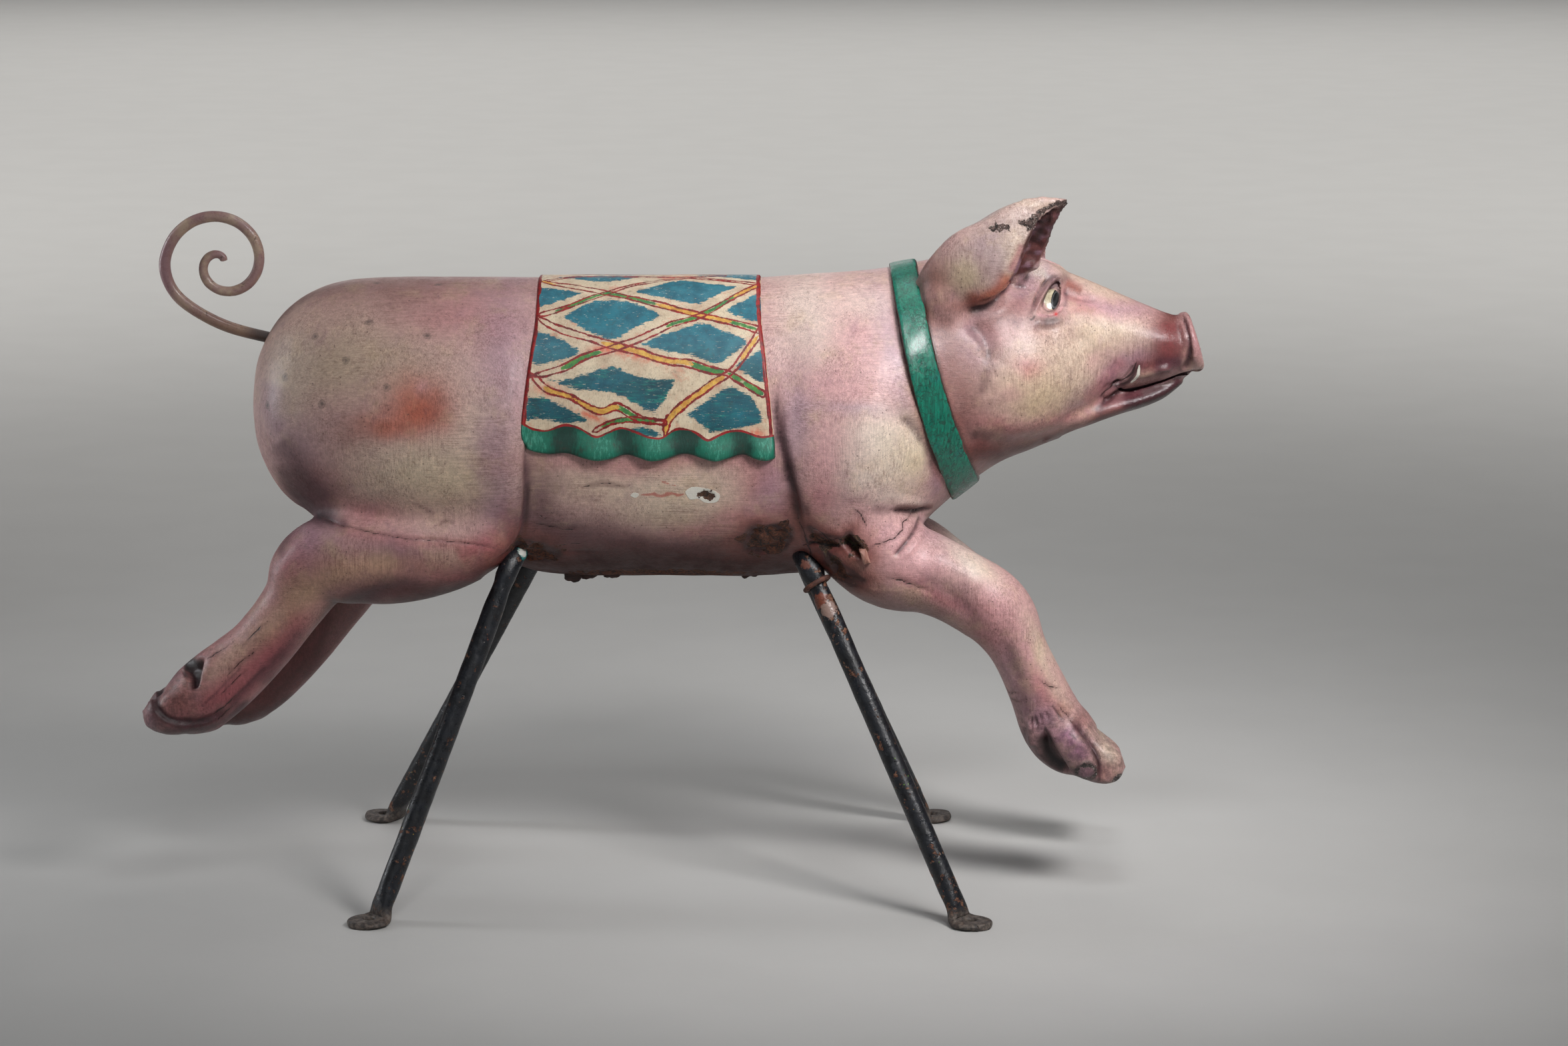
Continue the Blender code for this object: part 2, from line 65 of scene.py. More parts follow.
def smoothRows(rows, count):
    rows = np.array(rows, float)
    ends = np.vstack([2 * rows[0] - rows[1], rows, 2 * rows[-1] - rows[-2]])
    steps = np.linspace(0, len(rows) - 1, count)
    i = np.minimum(steps.astype(int), len(rows) - 2)
    t = (steps - i)[:, None]
    a, b, c, d = (ends[i + k] for k in range(4))
    return 0.5 * (2 * b + (c - a) * t + (2 * a - 5 * b + 4 * c - d) * t * t
                  + (3 * b - a - 3 * c + d) * t ** 3)


def angles(count):
    return np.linspace(0, 2 * np.pi, count, endpoint=False)


def newShell():
    return {"points": [], "faces": []}


def addRings(shell, rings, loop=False):
    # bridges rings of equal count; without loop both ends are closed with a fan
    rings = [np.array(ring, float) for ring in rings]
    count = len(rings[0])
    base = len(shell["points"])
    for ring in rings:
        shell["points"].extend(ring.tolist())
    last = len(rings) if loop else len(rings) - 1
    for r in range(last):
        low = base + r * count
        high = base + ((r + 1) % len(rings)) * count
        for i in range(count):
            j = (i + 1) % count
            shell["faces"].append((low + i, low + j, high + j, high + i))
    if loop:
        return
    for r, turned in ((0, True), (len(rings) - 1, False)):
        middle = len(shell["points"])
        shell["points"].append(rings[r].mean(0).tolist())
        for i in range(count):
            a, b = base + r * count + i, base + r * count + (i + 1) % count
            shell["faces"].append((b, a, middle) if turned else (a, b, middle))


@contextlib.contextmanager
def editing(mesh):
    edit = bmesh.new()
    edit.from_mesh(mesh)
    yield edit
    edit.to_mesh(mesh)
    edit.free()


def newObject(name, data):
    made = bpy.data.objects.new(name, data)
    bpy.context.scene.collection.objects.link(made)
    return made


def shellObject(name, shell):
    mesh = bpy.data.meshes.new(name)
    mesh.from_pydata(shell["points"], [], shell["faces"])
    made = newObject(name, mesh)
    with editing(mesh) as edit:
        bmesh.ops.recalc_face_normals(edit, faces=edit.faces)
    mesh.shade_smooth()
    return made


def skin(name, rings, loop=False):
    shell = newShell()
    addRings(shell, rings, loop)
    return shellObject(name, shell)


def bake(made):
    # makes the result of the modifiers the object's own mesh
    bpy.context.view_layer.update()
    seen = made.evaluated_get(bpy.context.evaluated_depsgraph_get())
    mesh = bpy.data.meshes.new_from_object(seen)
    made.modifiers.clear()
    made.data = mesh
    return made


def remesh(made, cell, rounds):
    joined = made.modifiers.new("join", "REMESH")
    joined.mode = "VOXEL"
    joined.voxel_size = cell
    soft = made.modifiers.new("soften", "SMOOTH")
    soft.factor = 0.5
    soft.iterations = rounds
    return bake(made)


def cutAway(made, cutter):
    step = made.modifiers.new("cut", "BOOLEAN")
    step.operation = "DIFFERENCE"
    step.solver = "EXACT"
    step.object = cutter
    bake(made)
    bpy.data.objects.remove(cutter, do_unlink=True)


def sliceOff(made, place, away):
    # removes what lies beyond a plane and closes the cut
    with editing(made.data) as mesh:
        parts = mesh.verts[:] + mesh.edges[:] + mesh.faces[:]
        cut = bmesh.ops.bisect_plane(mesh, geom=parts, dist=1e-6, plane_co=place, plane_no=away,
                                     clear_outer=True)
        rim = [e for e in cut["geom_cut"] if isinstance(e, bmesh.types.BMEdge)]
        bmesh.ops.holes_fill(mesh, edges=rim, sides=0)


def soften(mesh, points, factor, rounds):
    for _ in range(rounds):
        bmesh.ops.smooth_vert(mesh, verts=points, factor=factor, use_axis_x=True, use_axis_y=True,
                              use_axis_z=True)


def refine(made, chosen):
    # splits the faces whose centres the test picks, and rounds the new points over
    with editing(made.data) as mesh:
        picked = chosen(np.array([f.calc_center_median() for f in mesh.faces]))
        edges = list({e for f, use in zip(mesh.faces, picked) if use for e in f.edges})
        new = bmesh.ops.subdivide_edges(mesh, edges=edges, cuts=1, use_grid_fill=True)
        soften(mesh, list({v for v in new["geom"] if isinstance(v, bmesh.types.BMVert)}), 0.4, 2)


def blend(made, chosen, rounds):
    # rounds over the joints between the parts that were carved separately
    with editing(made.data) as mesh:
        near = chosen(np.array([v.co for v in mesh.verts]))
        soften(mesh, [v for v, use in zip(mesh.verts, near) if use], 0.5, rounds)


def oval(c, at, size, tilt=0.0):
    turn = math.radians(tilt)
    x, z = c[:, 0] - at[0], c[:, 2] - at[1]
    u = (x * math.cos(turn) + z * math.sin(turn)) / size[0]
    v = (z * math.cos(turn) - x * math.sin(turn)) / size[1]
    return u * u + v * v < 1


def readShape(made):
    # the carving tools work on arrays of points, mostly as seen from the side
    mesh = made.data
    mesh.update()
    count = len(mesh.vertices)
    co = np.zeros(count * 3)
    mesh.vertices.foreach_get("co", co)
    no = np.zeros(count * 3)
    mesh.vertex_normals.foreach_get("vector", no)
    return {"co": co.reshape(-1, 3), "no": no.reshape(-1, 3), "object": made}


def writeShape(shape):
    shape["object"].data.vertices.foreach_set("co", shape["co"].ravel())
    shape["no"] = readShape(shape["object"])["no"]


def ease(value, low, high):
    t = np.clip((value - low) / (high - low), 0, 1)
    return t * t * (3 - 2 * t)


def flank(shape, side):
    # share of each point that belongs to one flank and faces outward there; 0 means both
    if side == 0:
        return np.ones(len(shape["co"]))
    on = (side * shape["co"][:, 1] > 0).astype(float)
    return on * ease(side * shape["no"][:, 1], -0.15, 0.25)


def spot(shape, at, size, tilt=0.0, side=0, shift=(0, 0)):
    # soft oval blob in the side view
    co = shape["co"]
    x = co[:, 0] - at[0] / 1000 - shift[0]
    z = co[:, 2] - at[1] / 1000 - shift[1]
    turn = math.radians(tilt)
    u = (x * math.cos(turn) + z * math.sin(turn)) / (size[0] / 1000)
    v = (z * math.cos(turn) - x * math.sin(turn)) / (size[1] / 1000)
    return np.exp(-(u * u + v * v)) * flank(shape, side)


def pathDistance(shape, points, shift=(0, 0), samples=4):
    # distance to a smooth path in the side view, positive on its left, and the place along it
    route = smoothRows(points, (len(points) - 1) * samples + 1) / 1000 + np.array(shift)
    x, z = shape["co"][:, 0], shape["co"][:, 2]
    reach = 0.08
    low, high = route.min(0) - reach, route.max(0) + reach
    near = np.nonzero((x > low[0]) & (x < high[0]) & (z > low[1]) & (z < high[1]))[0]
    x, z = x[near], z[near]
    best = np.full(len(near), 9.0)
    signed = np.full(len(near), 9.0)
    share = np.zeros(len(near))
    for i, (a, b) in enumerate(zip(route, route[1:])):
        run = b - a
        t = np.clip(((x - a[0]) * run[0] + (z - a[1]) * run[1]) / (run @ run), 0, 1)
        dx, dz = x - a[0] - t * run[0], z - a[1] - t * run[1]
        d = np.hypot(dx, dz)
        nearer = d < best
        best = np.where(nearer, d, best)
        signed = np.where(nearer, np.where(run[0] * dz >= run[1] * dx, d, -d), signed)
        share = np.where(nearer, (i + t) / (len(route) - 1), share)
    allSigned = np.full(len(shape["co"]), 9.0)
    allShare = np.zeros(len(shape["co"]))
    allSigned[near] = signed
    allShare[near] = share
    return allSigned, allShare


def areaDistance(shape, points, shift=(0, 0)):
    # distance to a smooth closed outline in the side view, positive inside it
    ring = list(points) + [points[0]]
    signed, _ = pathDistance(shape, ring, shift, 3)
    route = smoothRows(ring, (len(ring) - 1) * 3 + 1) / 1000 + np.array(shift)
    x, z = shape["co"][:, 0], shape["co"][:, 2]
    inside = np.zeros(len(x), bool)
    for a, b in zip(route, route[1:]):
        if a[1] == b[1]:
            continue
        spans = (a[1] > z) != (b[1] > z)
        inside ^= spans & (x < a[0] + (z - a[1]) * (b[0] - a[0]) / (b[1] - a[1]))
    return np.where(inside, np.abs(signed), -np.abs(signed))


def push(shape, amount):
    shape["co"] += shape["no"] * amount[:, None]


def tools(shape, side):
    # a line is raised or, below zero, cut along a path; a lump is a soft oval; all in millimetres
    def line(height, width, points, shift=(0, 0), fade=0.25, sharp=False):
        signed, share = pathDistance(shape, points, shift)
        ends = ease(share, -0.001, fade) * ease(1 - share, -0.001, fade)
        off = np.abs(signed) / (width / 1000)
        band = np.exp(-off if sharp else -off * off) * ends
        push(shape, band * flank(shape, side) * (height / 1000))

    def lump(height, at, size, tilt=0, shift=(0, 0)):
        push(shape, spot(shape, at, size, tilt, side, shift) * (height / 1000))

    return line, lump


def ledge(shape, points, high, low, behind, ahead, side, shift=(0, 0), edge=2):
    # raises the left of a path and sinks its right, which leaves a carved step
    signed, share = pathDistance(shape, points, shift)
    left = 0.5 + 0.5 * np.tanh(signed / (edge / 1000))
    ends = ease(share, -0.001, 0.2) * ease(1 - share, -0.001, 0.2)
    far = np.abs(signed)
    lift = left * (high / 1000) * np.exp(-far / (behind / 1000))
    lift -= (1 - left) * (low / 1000) * np.exp(-far / (ahead / 1000))
    push(shape, lift * ends * flank(shape, side))


def field(points, scale, seed):
    # smooth noise from -1 to 1 at each point
    start = Vector((seed * 3.7, seed * 1.3, -seed * 2.1))
    return np.array([noise.noise(Vector(p) * scale + start) for p in points])


def saveFields(made, **fields):
    # one value, three or four numbers for each point
    for name, values in fields.items():
        kind, key = {1: ("FLOAT", "value"), 3: ("FLOAT_VECTOR", "vector"),
                     4: ("FLOAT_COLOR", "color")}[values.size // len(values)]
        layer = made.data.attributes.new(name, kind, "POINT")
        layer.data.foreach_set(key, np.ascontiguousarray(values, np.float32).ravel())


def linear(red, green, blue):
    tone = np.array([red, green, blue]) / 255
    return np.where(tone <= 0.04045, tone / 12.92, ((tone + 0.055) / 1.055) ** 2.4)


backTop = 752.5     # heights of the level back and belly, in mm
bellyLow = 381

carving = {
    "bodyCell": 0.0044,     # fineness of the body's surface, in metres
    "headCell": 0.0025,
    "legOut": 0.098,
    "toeSpread": 0.0215,
    "farHind": (0.029, -0.038),
    "farFore": (0.01, -0.044),
    "farEar": (0.004, -0.027),
    "earWall": 0.011,
    "waver": 0.0007,        # unevenness of the hand-carved surface
    # all rows are in mm: x, top, bottom, half width, and sag in thousandths
    "body": [
        (-520, 622, 572, 22, 0), (-512, 660, 532, 60, 0), (-489, 702, 490, 98, 0),
        (-455, 731, 462, 126, 20), (-408, 748, 436, 148, 30), (-340, backTop, 415, 160, 40),
        (-260, backTop, 402, 163, 40), (-200, backTop, 396, 160, 40), (-176, backTop, 388, 149, 20),
        (-120, backTop, bellyLow, 147, 10), (0, backTop, bellyLow, 148, 10),
        (105, backTop, bellyLow, 149, 10), (140, 755, 384, 151, 30), (172, 757, 386, 162, 50),
        (225, 760, 392, 168, 50), (275, 767, 418, 152, 50), (320, 776, 462, 130, 50),
        (360, 784, 496, 118, 100), (400, 785, 524, 112, 160), (440, 776, 541, 102, 180),
        (475, 756, 554, 84, 160),
    ],
    "muzzle": [
        (440, 776, 548, 98, 140), (470, 765, 560, 86, 140), (505, 751, 580, 70, 100),
        (540, 736, 606, 56, 40), (575, 721, 616, 48, 0), (602, 710, 620, 43, 0), (620, 705, 626, 38, 0),
        (634, 702, 632, 37, 0),
    ],
    "jaw": [
        (455, 600, 548, 70, 0), (500, 606, 567, 56, 0), (545, 613, 583, 42, 0), (575, 618.5, 592, 36, 0),
        (600, 626, 602, 29, 0), (616, 632, 613, 21, 0), (627, 631, 622, 11, 0),
    ],
    # x, z, half across, half depth
    "hindLeg": [
        (-215, 462, 44, 46), (-270, 440, 56, 56), (-330, 426, 58, 60), (-395, 422, 55, 60),
        (-440, 406, 48, 54), (-465, 366, 40, 41), (-504, 316, 36, 39), (-536, 285, 37, 42),
        (-566, 260, 42, 44), (-594, 240, 44, 40), (-616, 229, 36, 29), (-628, 223, 14, 13),
    ],
    "foreLeg": [
        (205, 480, 50, 68), (259, 421, 56, 61), (312, 401, 52, 50), (345, 386, 48, 47),
        (382, 364, 45, 47), (404, 341, 42, 43), (424, 303, 36, 35), (447, 254, 34, 37),
        (464, 216, 38, 41), (481, 195, 44, 42), (503, 178, 43, 34), (518, 170, 18, 14),
    ],
    "hindToe": [(-580, 245, 18, 28), (-612, 233, 22, 28), (-636, 227, 19, 20), (-650, 224, 8, 9)],
    "foreToe": [(492, 188, 18, 28), (514, 173, 22, 28), (538, 161, 19, 22), (551, 155, 8, 10)],
    # fold, outer rim, inner rim: each x, distance from the middle, z
    "ear": [
        ((296, 50, 748), (338, 80, 716), (400, 30, 715)),
        ((309, 78, 783), (360, 108, 736), (410, 44, 738)),
        ((338, 94, 818), (392, 122, 749), (430, 54, 760)),
        ((374, 100, 837), (410, 126, 772), (444, 56, 780)),
        ((408, 100, 856), (422, 122, 803), (454, 64, 800)),
        ((444, 96, 864), (438, 112, 840), (464, 78, 830)),
        ((478, 91, 860), (462, 99, 854), (474, 88, 850)),
    ],
}

snoutDisc = {
    "middle": (0.6365, 0.6735),
    "lean": 17,             # degrees that its face looks up
    "tall": 0.0375,         # half height and half width
    "wide": 0.0415,
    # offset along the axis, share of the radius
    "profile": [(-0.012, 0.8), (-0.009, 0.95), (-0.004, 1.03), (0.001, 1.03), (0.005, 0.98),
                (0.0075, 0.86), (0.007, 0.6), (0.0055, 0.3)],
}

collarTop = np.array([0.281, 0.7665])
collarLow = np.array([0.359, 0.494])


def bodyRing(row, sides):
    x, top, bottom, half, sag = row
    angle = angles(sides)
    y = half * (1 - sag * np.sin(angle)) * np.cos(angle)
    z = (top + bottom) / 2 + (top - bottom) / 2 * np.sin(angle)
    return np.stack([np.full(sides, x), y, z], 1)


def addBulk(shell, rows, count, sides, stop=None):
    # stop: plane (place, direction) that the bulk doesn't cross
    rings = [bodyRing(row, sides) for row in smoothRows(np.array(rows) / 1000, count)]
    if stop:
        place, ahead = (np.array(v) for v in stop)
        for ring in rings:
            over = np.maximum((ring - place) @ ahead, 0)
            ring -= over[:, None] * ahead
        rings = [ring for ring in rings if np.ptp(ring, 0).max() > 0.01]
    addRings(shell, rings)


def addLimb(shell, rows, y, shift=(0, 0), count=72, sides=36):
    rows = smoothRows(np.array(rows) / 1000, count)
    angle = angles(sides)
    rings = []
    for i, (x, z, half, depth) in enumerate(rows):
        run = rows[min(i + 1, count - 1)][:2] - rows[max(i - 1, 0)][:2]
        run /= np.hypot(*run)
        reach = min(1.0, i / (count * 0.3))
        rise = depth * np.sin(angle)
        rings.append(np.stack([x + shift[0] * reach - run[1] * rise, y + half * np.cos(angle),
                               z + shift[1] * reach + run[0] * rise], 1))
    addRings(shell, rings)


def addToes(shell, rows, y, shift=(0, 0)):
    for spread in (-carving["toeSpread"], carving["toeSpread"]):
        moved = [(x + shift[0] * 1000, z + shift[1] * 1000, half, depth) for x, z, half, depth in rows]
        addLimb(shell, moved, y + spread, count=24, sides=24)


def addEar(shell, side, shift=(0, 0)):
    rings = []
    turn = np.linspace(-1, 1, 33)[:, None] * np.pi / 2
    for row in smoothRows(np.array(carving["ear"]).reshape(-1, 9) / 1000, 60):
        fold, outer, inner = row.reshape(3, 3) * (1, side, 1) + (shift[0], 0, shift[1])
        depth = (outer + inner) / 2 - fold
        width = (inner - outer) / 2
        deep = np.linalg.norm(depth)
        wide = np.linalg.norm(width)
        outside = fold + depth * (1 - np.cos(turn)) + width * np.sin(turn)
        inward = depth / deep * np.cos(turn) - width / wide * np.sin(turn)
        inside = outside + inward * min(carving["earWall"], 0.6 * deep)
        rings.append(np.vstack([outside, inside[::-1]]))
    addRings(shell, rings)


def addEgg(shell, middle, radii):
    around = angles(32)
    rings = []
    for turn in np.linspace(0.05, math.pi - 0.05, 20):
        across = np.stack([np.cos(around) * math.sin(turn), np.sin(around) * math.sin(turn),
                           np.full(32, math.cos(turn))], 1)
        rings.append(np.array(middle) + across * radii)
    addRings(shell, rings)


def addDisc(shell):
    lean = math.radians(snoutDisc["lean"])
    axis = np.array([math.cos(lean), 0, math.sin(lean)])
    up = np.array([-math.sin(lean), 0, math.cos(lean)])
    across = np.array([0, 1, 0])
    middle = np.array([snoutDisc["middle"][0], 0, snoutDisc["middle"][1]])
    angle = angles(48)[:, None]
    rings = []
    for off, share in snoutDisc["profile"]:
        rings.append(middle + axis * off + across * np.cos(angle) * snoutDisc["wide"] * share
                     + up * np.sin(angle) * snoutDisc["tall"] * share)
    addRings(shell, rings)


def collarPlane():
    down = (collarLow - collarTop) / np.linalg.norm(collarLow - collarTop)
    return Vector((*collarTop, 0)).xzy, Vector((-down[1], 0, down[0]))


def makeBody():
    shell = newShell()
    addBulk(shell, carving["body"], 120, 72, collarPlane())
    for addPart, kind in ((addLimb, "Leg"), (addToes, "Toe")):
        for end in ("Hind", "Fore"):
            addPart(shell, carving[end.lower() + kind], -carving["legOut"])
            addPart(shell, carving[end.lower() + kind], carving["legOut"], carving["far" + end])
    made = remesh(shellObject("pig_body", shell), carving["bodyCell"], 6)
    blend(made, lambda c: (np.abs(c[:, 1]) > 0.05) & (oval(c, (-0.3, 0.455), (0.15, 0.048), -8)
                                                      | oval(c, (-0.225, 0.445), (0.06, 0.05))), 60)
    blend(made, lambda c: (np.abs(c[:, 1]) > 0.05) & oval(c, (0.235, 0.45), (0.09, 0.055), -20), 40)

    def chosen(c):
        x, y, z = c.T
        hooves = (z < 0.315) & ((x < -0.5) | (x > 0.41))
        shoulder = (y < 0) & (x > 0.1) & (x < 0.33) & (z > 0.375) & (z < 0.52)
        haunchEdge = (np.abs(y) > 0.07) & (np.abs(x + 0.19) < 0.026) & (z < 0.6)
        chips = (y < 0) & (x > -0.07) & (x < 0.075) & (z > 0.48) & (z < 0.535)
        crack = (y < -0.05) & (np.abs(z - 0.452 - 0.17 * (-0.3 - x)) < 0.016) & (x < -0.2)
        return hooves | shoulder | haunchEdge | chips | (crack & (z > 0.42))

    refine(made, chosen)
    return made


# paths in the side view are pairs (x, height) in mm; these are both carved and painted
hindToeCut = [(-542, 242), (-563, 228), (-588, 222), (-614, 226), (-629, 236), (-636, 250), (-632, 266)]
foreToeCut = [(484, 224), (497, 210), (510, 194), (518, 177), (520, 160), (521, 146)]
elbowCut = [(304, 474), (285, 452), (266, 432)]
hoofWrinkles = [[(438, 228), (438, 214)], [(442, 230), (445, 215)], [(447, 234), (451, 222)],
                [(455, 236), (459, 223)], [(463, 243), (475, 224)]]


def legShifts(side):
    return ((0, 0), (0, 0)) if side < 0 else (carving["farHind"], carving["farFore"])


def carveHaunch(shape, side, hind):
    line, lump = tools(shape, side)
    ledge(shape, [(-222, 420), (-192, 448), (-182, 500), (-180, 560), (-174, 640)], 3, 4, 30, 22, side,
          edge=1.8)
    lump(4, (-330, 550), (110, 100))
    line(5.5, 22, [(-425, 474), (-380, 464), (-335, 456), (-280, 450)])
    line(-3, 10, [(-450, 470), (-470, 452), (-486, 420)])
    line(-1, 1.4, [(-430, 474), (-390, 467), (-340, 459), (-295, 455), (-245, 448), (-205, 436)], fade=0.1)
    # thigh, tendon and hollow of the hind leg
    lump(3, (-425, 425), (55, 28), 20, hind)
    line(-3.5, 12, [(-300, 400), (-360, 385), (-410, 352), (-450, 300)], hind)
    line(-2.2, 6, [(-496, 326), (-525, 298), (-561, 264)], hind)
    line(2, 14, [(-480, 352), (-520, 316), (-565, 282)], hind)


def carveHindHoof(shape, side, hind):
    line, lump = tools(shape, side)
    notch = areaDistance(shape, [(-606, 284), (-602, 293), (-590, 297), (-576, 299), (-578, 283),
                                 (-581, 268), (-590, 265), (-594, 276)], hind)
    lump(5, (-590, 312), (18, 9), 20, hind)
    lump(3, (-566, 292), (8, 14), 0, hind)
    push(shape, -ease(notch, -0.0015, 0.0055) * flank(shape, side) * 0.014)
    lump(4, (-560, 203), (14, 10), 0, hind)
    ledge(shape, hindToeCut, 4.5, 3.5, 20, 14, side, hind, edge=1.8)
    line(-3.5, 2.8, hindToeCut, hind, sharp=True, fade=0.15)
    lump(3, (-604, 252), (26, 22), 0, hind)


def carveShoulder(shape, side, fore):
    line, lump = tools(shape, side)
    ledge(shape, [(126, 660), (131, 590), (142, 540), (152, 500), (162, 440)], 3, 4.5, 32, 22, side,
          edge=3.5)
    lump(6.5, (250, 560), (62, 80))
    line(-6, 11, [(262, 625), (290, 590), (312, 555), (322, 512)])
    line(-6, 4.5, [(262, 489), (283, 484), (300, 478), (318, 478)])
    line(3, 7, [(262, 497), (285, 495), (305, 489)])
    # top of the foreleg and the cut beside it
    line(-3.4, 3.2, elbowCut, fade=0.15)
    line(1.8, 3.5, [(312, 466), (294, 446), (276, 428)])
    line(3.5, 17, [(305, 440), (345, 418), (390, 392)], fore)
    line(-4.2, 11, [(285, 405), (320, 397), (352, 375), (378, 335)], fore)
    line(-2, 2.2, [(258, 407), (278, 402), (300, 393), (323, 382)], sharp=True)
    lump(4, (393, 372), (28, 30), 0, fore)
    line(-2, 10, [(392, 345), (408, 305), (425, 262)], fore)
    line(2, 10, [(415, 335), (436, 288), (455, 245)], fore)


def carveForeHoof(shape, side, fore):
    line, lump = tools(shape, side)
    for wrinkle in hoofWrinkles:
        line(-2.2, 1.5, wrinkle, fore, fade=0.4)
    hollow = areaDistance(shape, [(453, 216), (449, 201), (449, 185), (458, 170), (472, 161), (484, 160),
                                  (477, 175), (468, 190), (460, 205)], fore)
    push(shape, -ease(hollow, -0.003, 0.006) * flank(shape, side) * 0.013)
    line(6, 5.5, [(439, 226), (439, 204), (441, 186)], fore)
    ledge(shape, foreToeCut[::-1], 3.5, 5.5, 20, 26, side, fore)
    line(-5, 3.4, foreToeCut, fore, sharp=True, fade=0.2)
    lump(3.5, (488, 196), (18, 26), 25, fore)
    nail = np.hypot(shape["co"][:, 0] - 0.504 - fore[0], shape["co"][:, 2] - 0.166 - fore[1])
    push(shape, np.exp(-((nail - 0.0095) / 0.0014) ** 2) * flank(shape, side) * 0.0012)


rottenWood = [
    [(82, 445), (94, 460), (112, 465), (138, 468), (145, 450), (134, 434), (112, 427), (90, 430)],
    [(166, 466), (182, 459), (206, 454), (214, 462), (232, 438), (219, 436), (207, 444), (186, 437),
     (170, 446)],
    [(184, 437), (200, 424), (216, 411), (231, 402), (220, 396), (201, 404), (188, 420)],
    [(-198, 438), (-184, 446), (-158, 436), (-142, 424), (-160, 414), (-190, 418)],
]


def carveBelly(shape):
    line, _ = tools(shape, -1)
    # rotten wood and gaps round the front elbow, and the chip on the flank
    rough = field(shape["co"], 90, 11)
    for outline in rottenWood:
        rotten = ease(areaDistance(shape, outline), -0.002, 0.004) * flank(shape, -1)
        push(shape, -rotten * (0.002 + 0.005 * rough))
    gap = areaDistance(shape, [(204, 451), (214, 459), (232, 436), (225, 430), (213, 436)])
    push(shape, -ease(gap, -0.001, 0.004) * flank(shape, -1) * 0.014)
    line(-6, 3, [(158, 441), (180, 446), (206, 443)], sharp=True)
    chip = areaDistance(shape, [(29, 508), (38, 513), (48, 509), (51, 504), (43, 502), (33, 504)])
    push(shape, -ease(chip, 0, 0.0012) * flank(shape, -1) * 0.0014)
    for cut in ([(-172, 468), (-138, 462), (-105, 465)], [(-166, 484), (-140, 480)],
                [(-112, 516), (-84, 519), (-55, 514)], [(-150, 430), (-80, 428)]):
        line(-1.4, 2.2, cut, sharp=True)
    x, _, z = shape["co"].T
    under = ease(0.415 - z, 0, 0.03) * (x > -0.19) * (x < 0.16)
    push(shape, under * 0.0022 * field(shape["co"] * (0.35, 1, 1), 45, 12))


def carveBody(made):
    shape = readShape(made)
    for side in (-1, 1):
        hind, fore = legShifts(side)
        carveHaunch(shape, side, hind)
        carveShoulder(shape, side, fore)
        writeShape(shape)
        carveHindHoof(shape, side, hind)
        carveForeHoof(shape, side, fore)
        writeShape(shape)
    carveBelly(shape)
    co = shape["co"]
    push(shape, carving["waver"] * (field(co, 11, 1) + 0.35 * field(co, 42, 2)))
    writeShape(shape)


def mouthCutter(side):
    # the gap between the lips: middle line x, height and half height in mm
    rows = [(541, 623.5, 0.6), (548, 617.5, 2), (558, 616, 3), (574, 618.7, 3.2), (596, 625.7, 2.6),
            (616, 633.8, 2), (628, 636.5, 3), (655, 637, 6)]
    rings = []
    for x, z, half in smoothRows(np.array(rows) / 1000, 40):
        rings.append([(x, side * 0.01, z + half), (x, side * 0.1, z + half),
                      (x, side * 0.1, z - half), (x, side * 0.01, z - half)])
    return skin("mouth_gap", rings)


def makeHead():
    shell = newShell()
    forward = [row for row in carving["body"] if row[0] > 200]
    addBulk(shell, forward, 60, 96)
    addBulk(shell, carving["muzzle"], 60, 72)
    addBulk(shell, carving["jaw"], 40, 48)
    addDisc(shell)
    addEar(shell, -1)
    addEar(shell, 1, carving["farEar"])
    for side in (-1, 1):
        addEgg(shell, (0.326, side * 0.08, 0.735), (0.03, 0.032, 0.034))
        addEgg(shell, (0.372, side * 0.074, 0.74), (0.03, 0.023, 0.022))
    made = remesh(shellObject("pig_head", shell), carving["headCell"], 5)
    place, ahead = collarPlane()
    sliceOff(made, place, -ahead)
    for side in (-1, 1):
        cutAway(made, mouthCutter(side))
    for at, size, tilt, out, rounds in (((0.33, 0.735), (0.034, 0.05), -25, 0.05, 70),
                                        ((0.376, 0.722), (0.03, 0.012), 8, 0.05, 25),
                                        ((0.428, 0.764), (0.02, 0.013), 0, 0.03, 20),
                                        ((0.47, 0.585), (0.06, 0.022), 20, 0.03, 30)):
        blend(made, lambda c: oval(c, at, size, tilt) & (np.abs(c[:, 1]) > out), rounds)

    def chosen(c):
        x, y, z = c.T
        eyes = np.hypot(x - 0.462, z - 0.732) < 0.036
        return (eyes & (np.abs(y) > 0.05)) | ((x > 0.53) & (z < 0.66) & (z > 0.59))

    refine(made, chosen)
    return made


eyeOpening = [(446.7, 726.2), (451.8, 736.7), (459.2, 747.9), (468.5, 752.5), (471.6, 743.7),
              (470.2, 729.7), (464, 720.6), (454, 719)]
upperLid = [(437, 716), (444, 731), (452, 743), (460, 752), (468.5, 757), (475.5, 750)]
lowerLid = [(440, 718.5), (449, 716.5), (459, 716), (469, 720), (474.5, 729)]


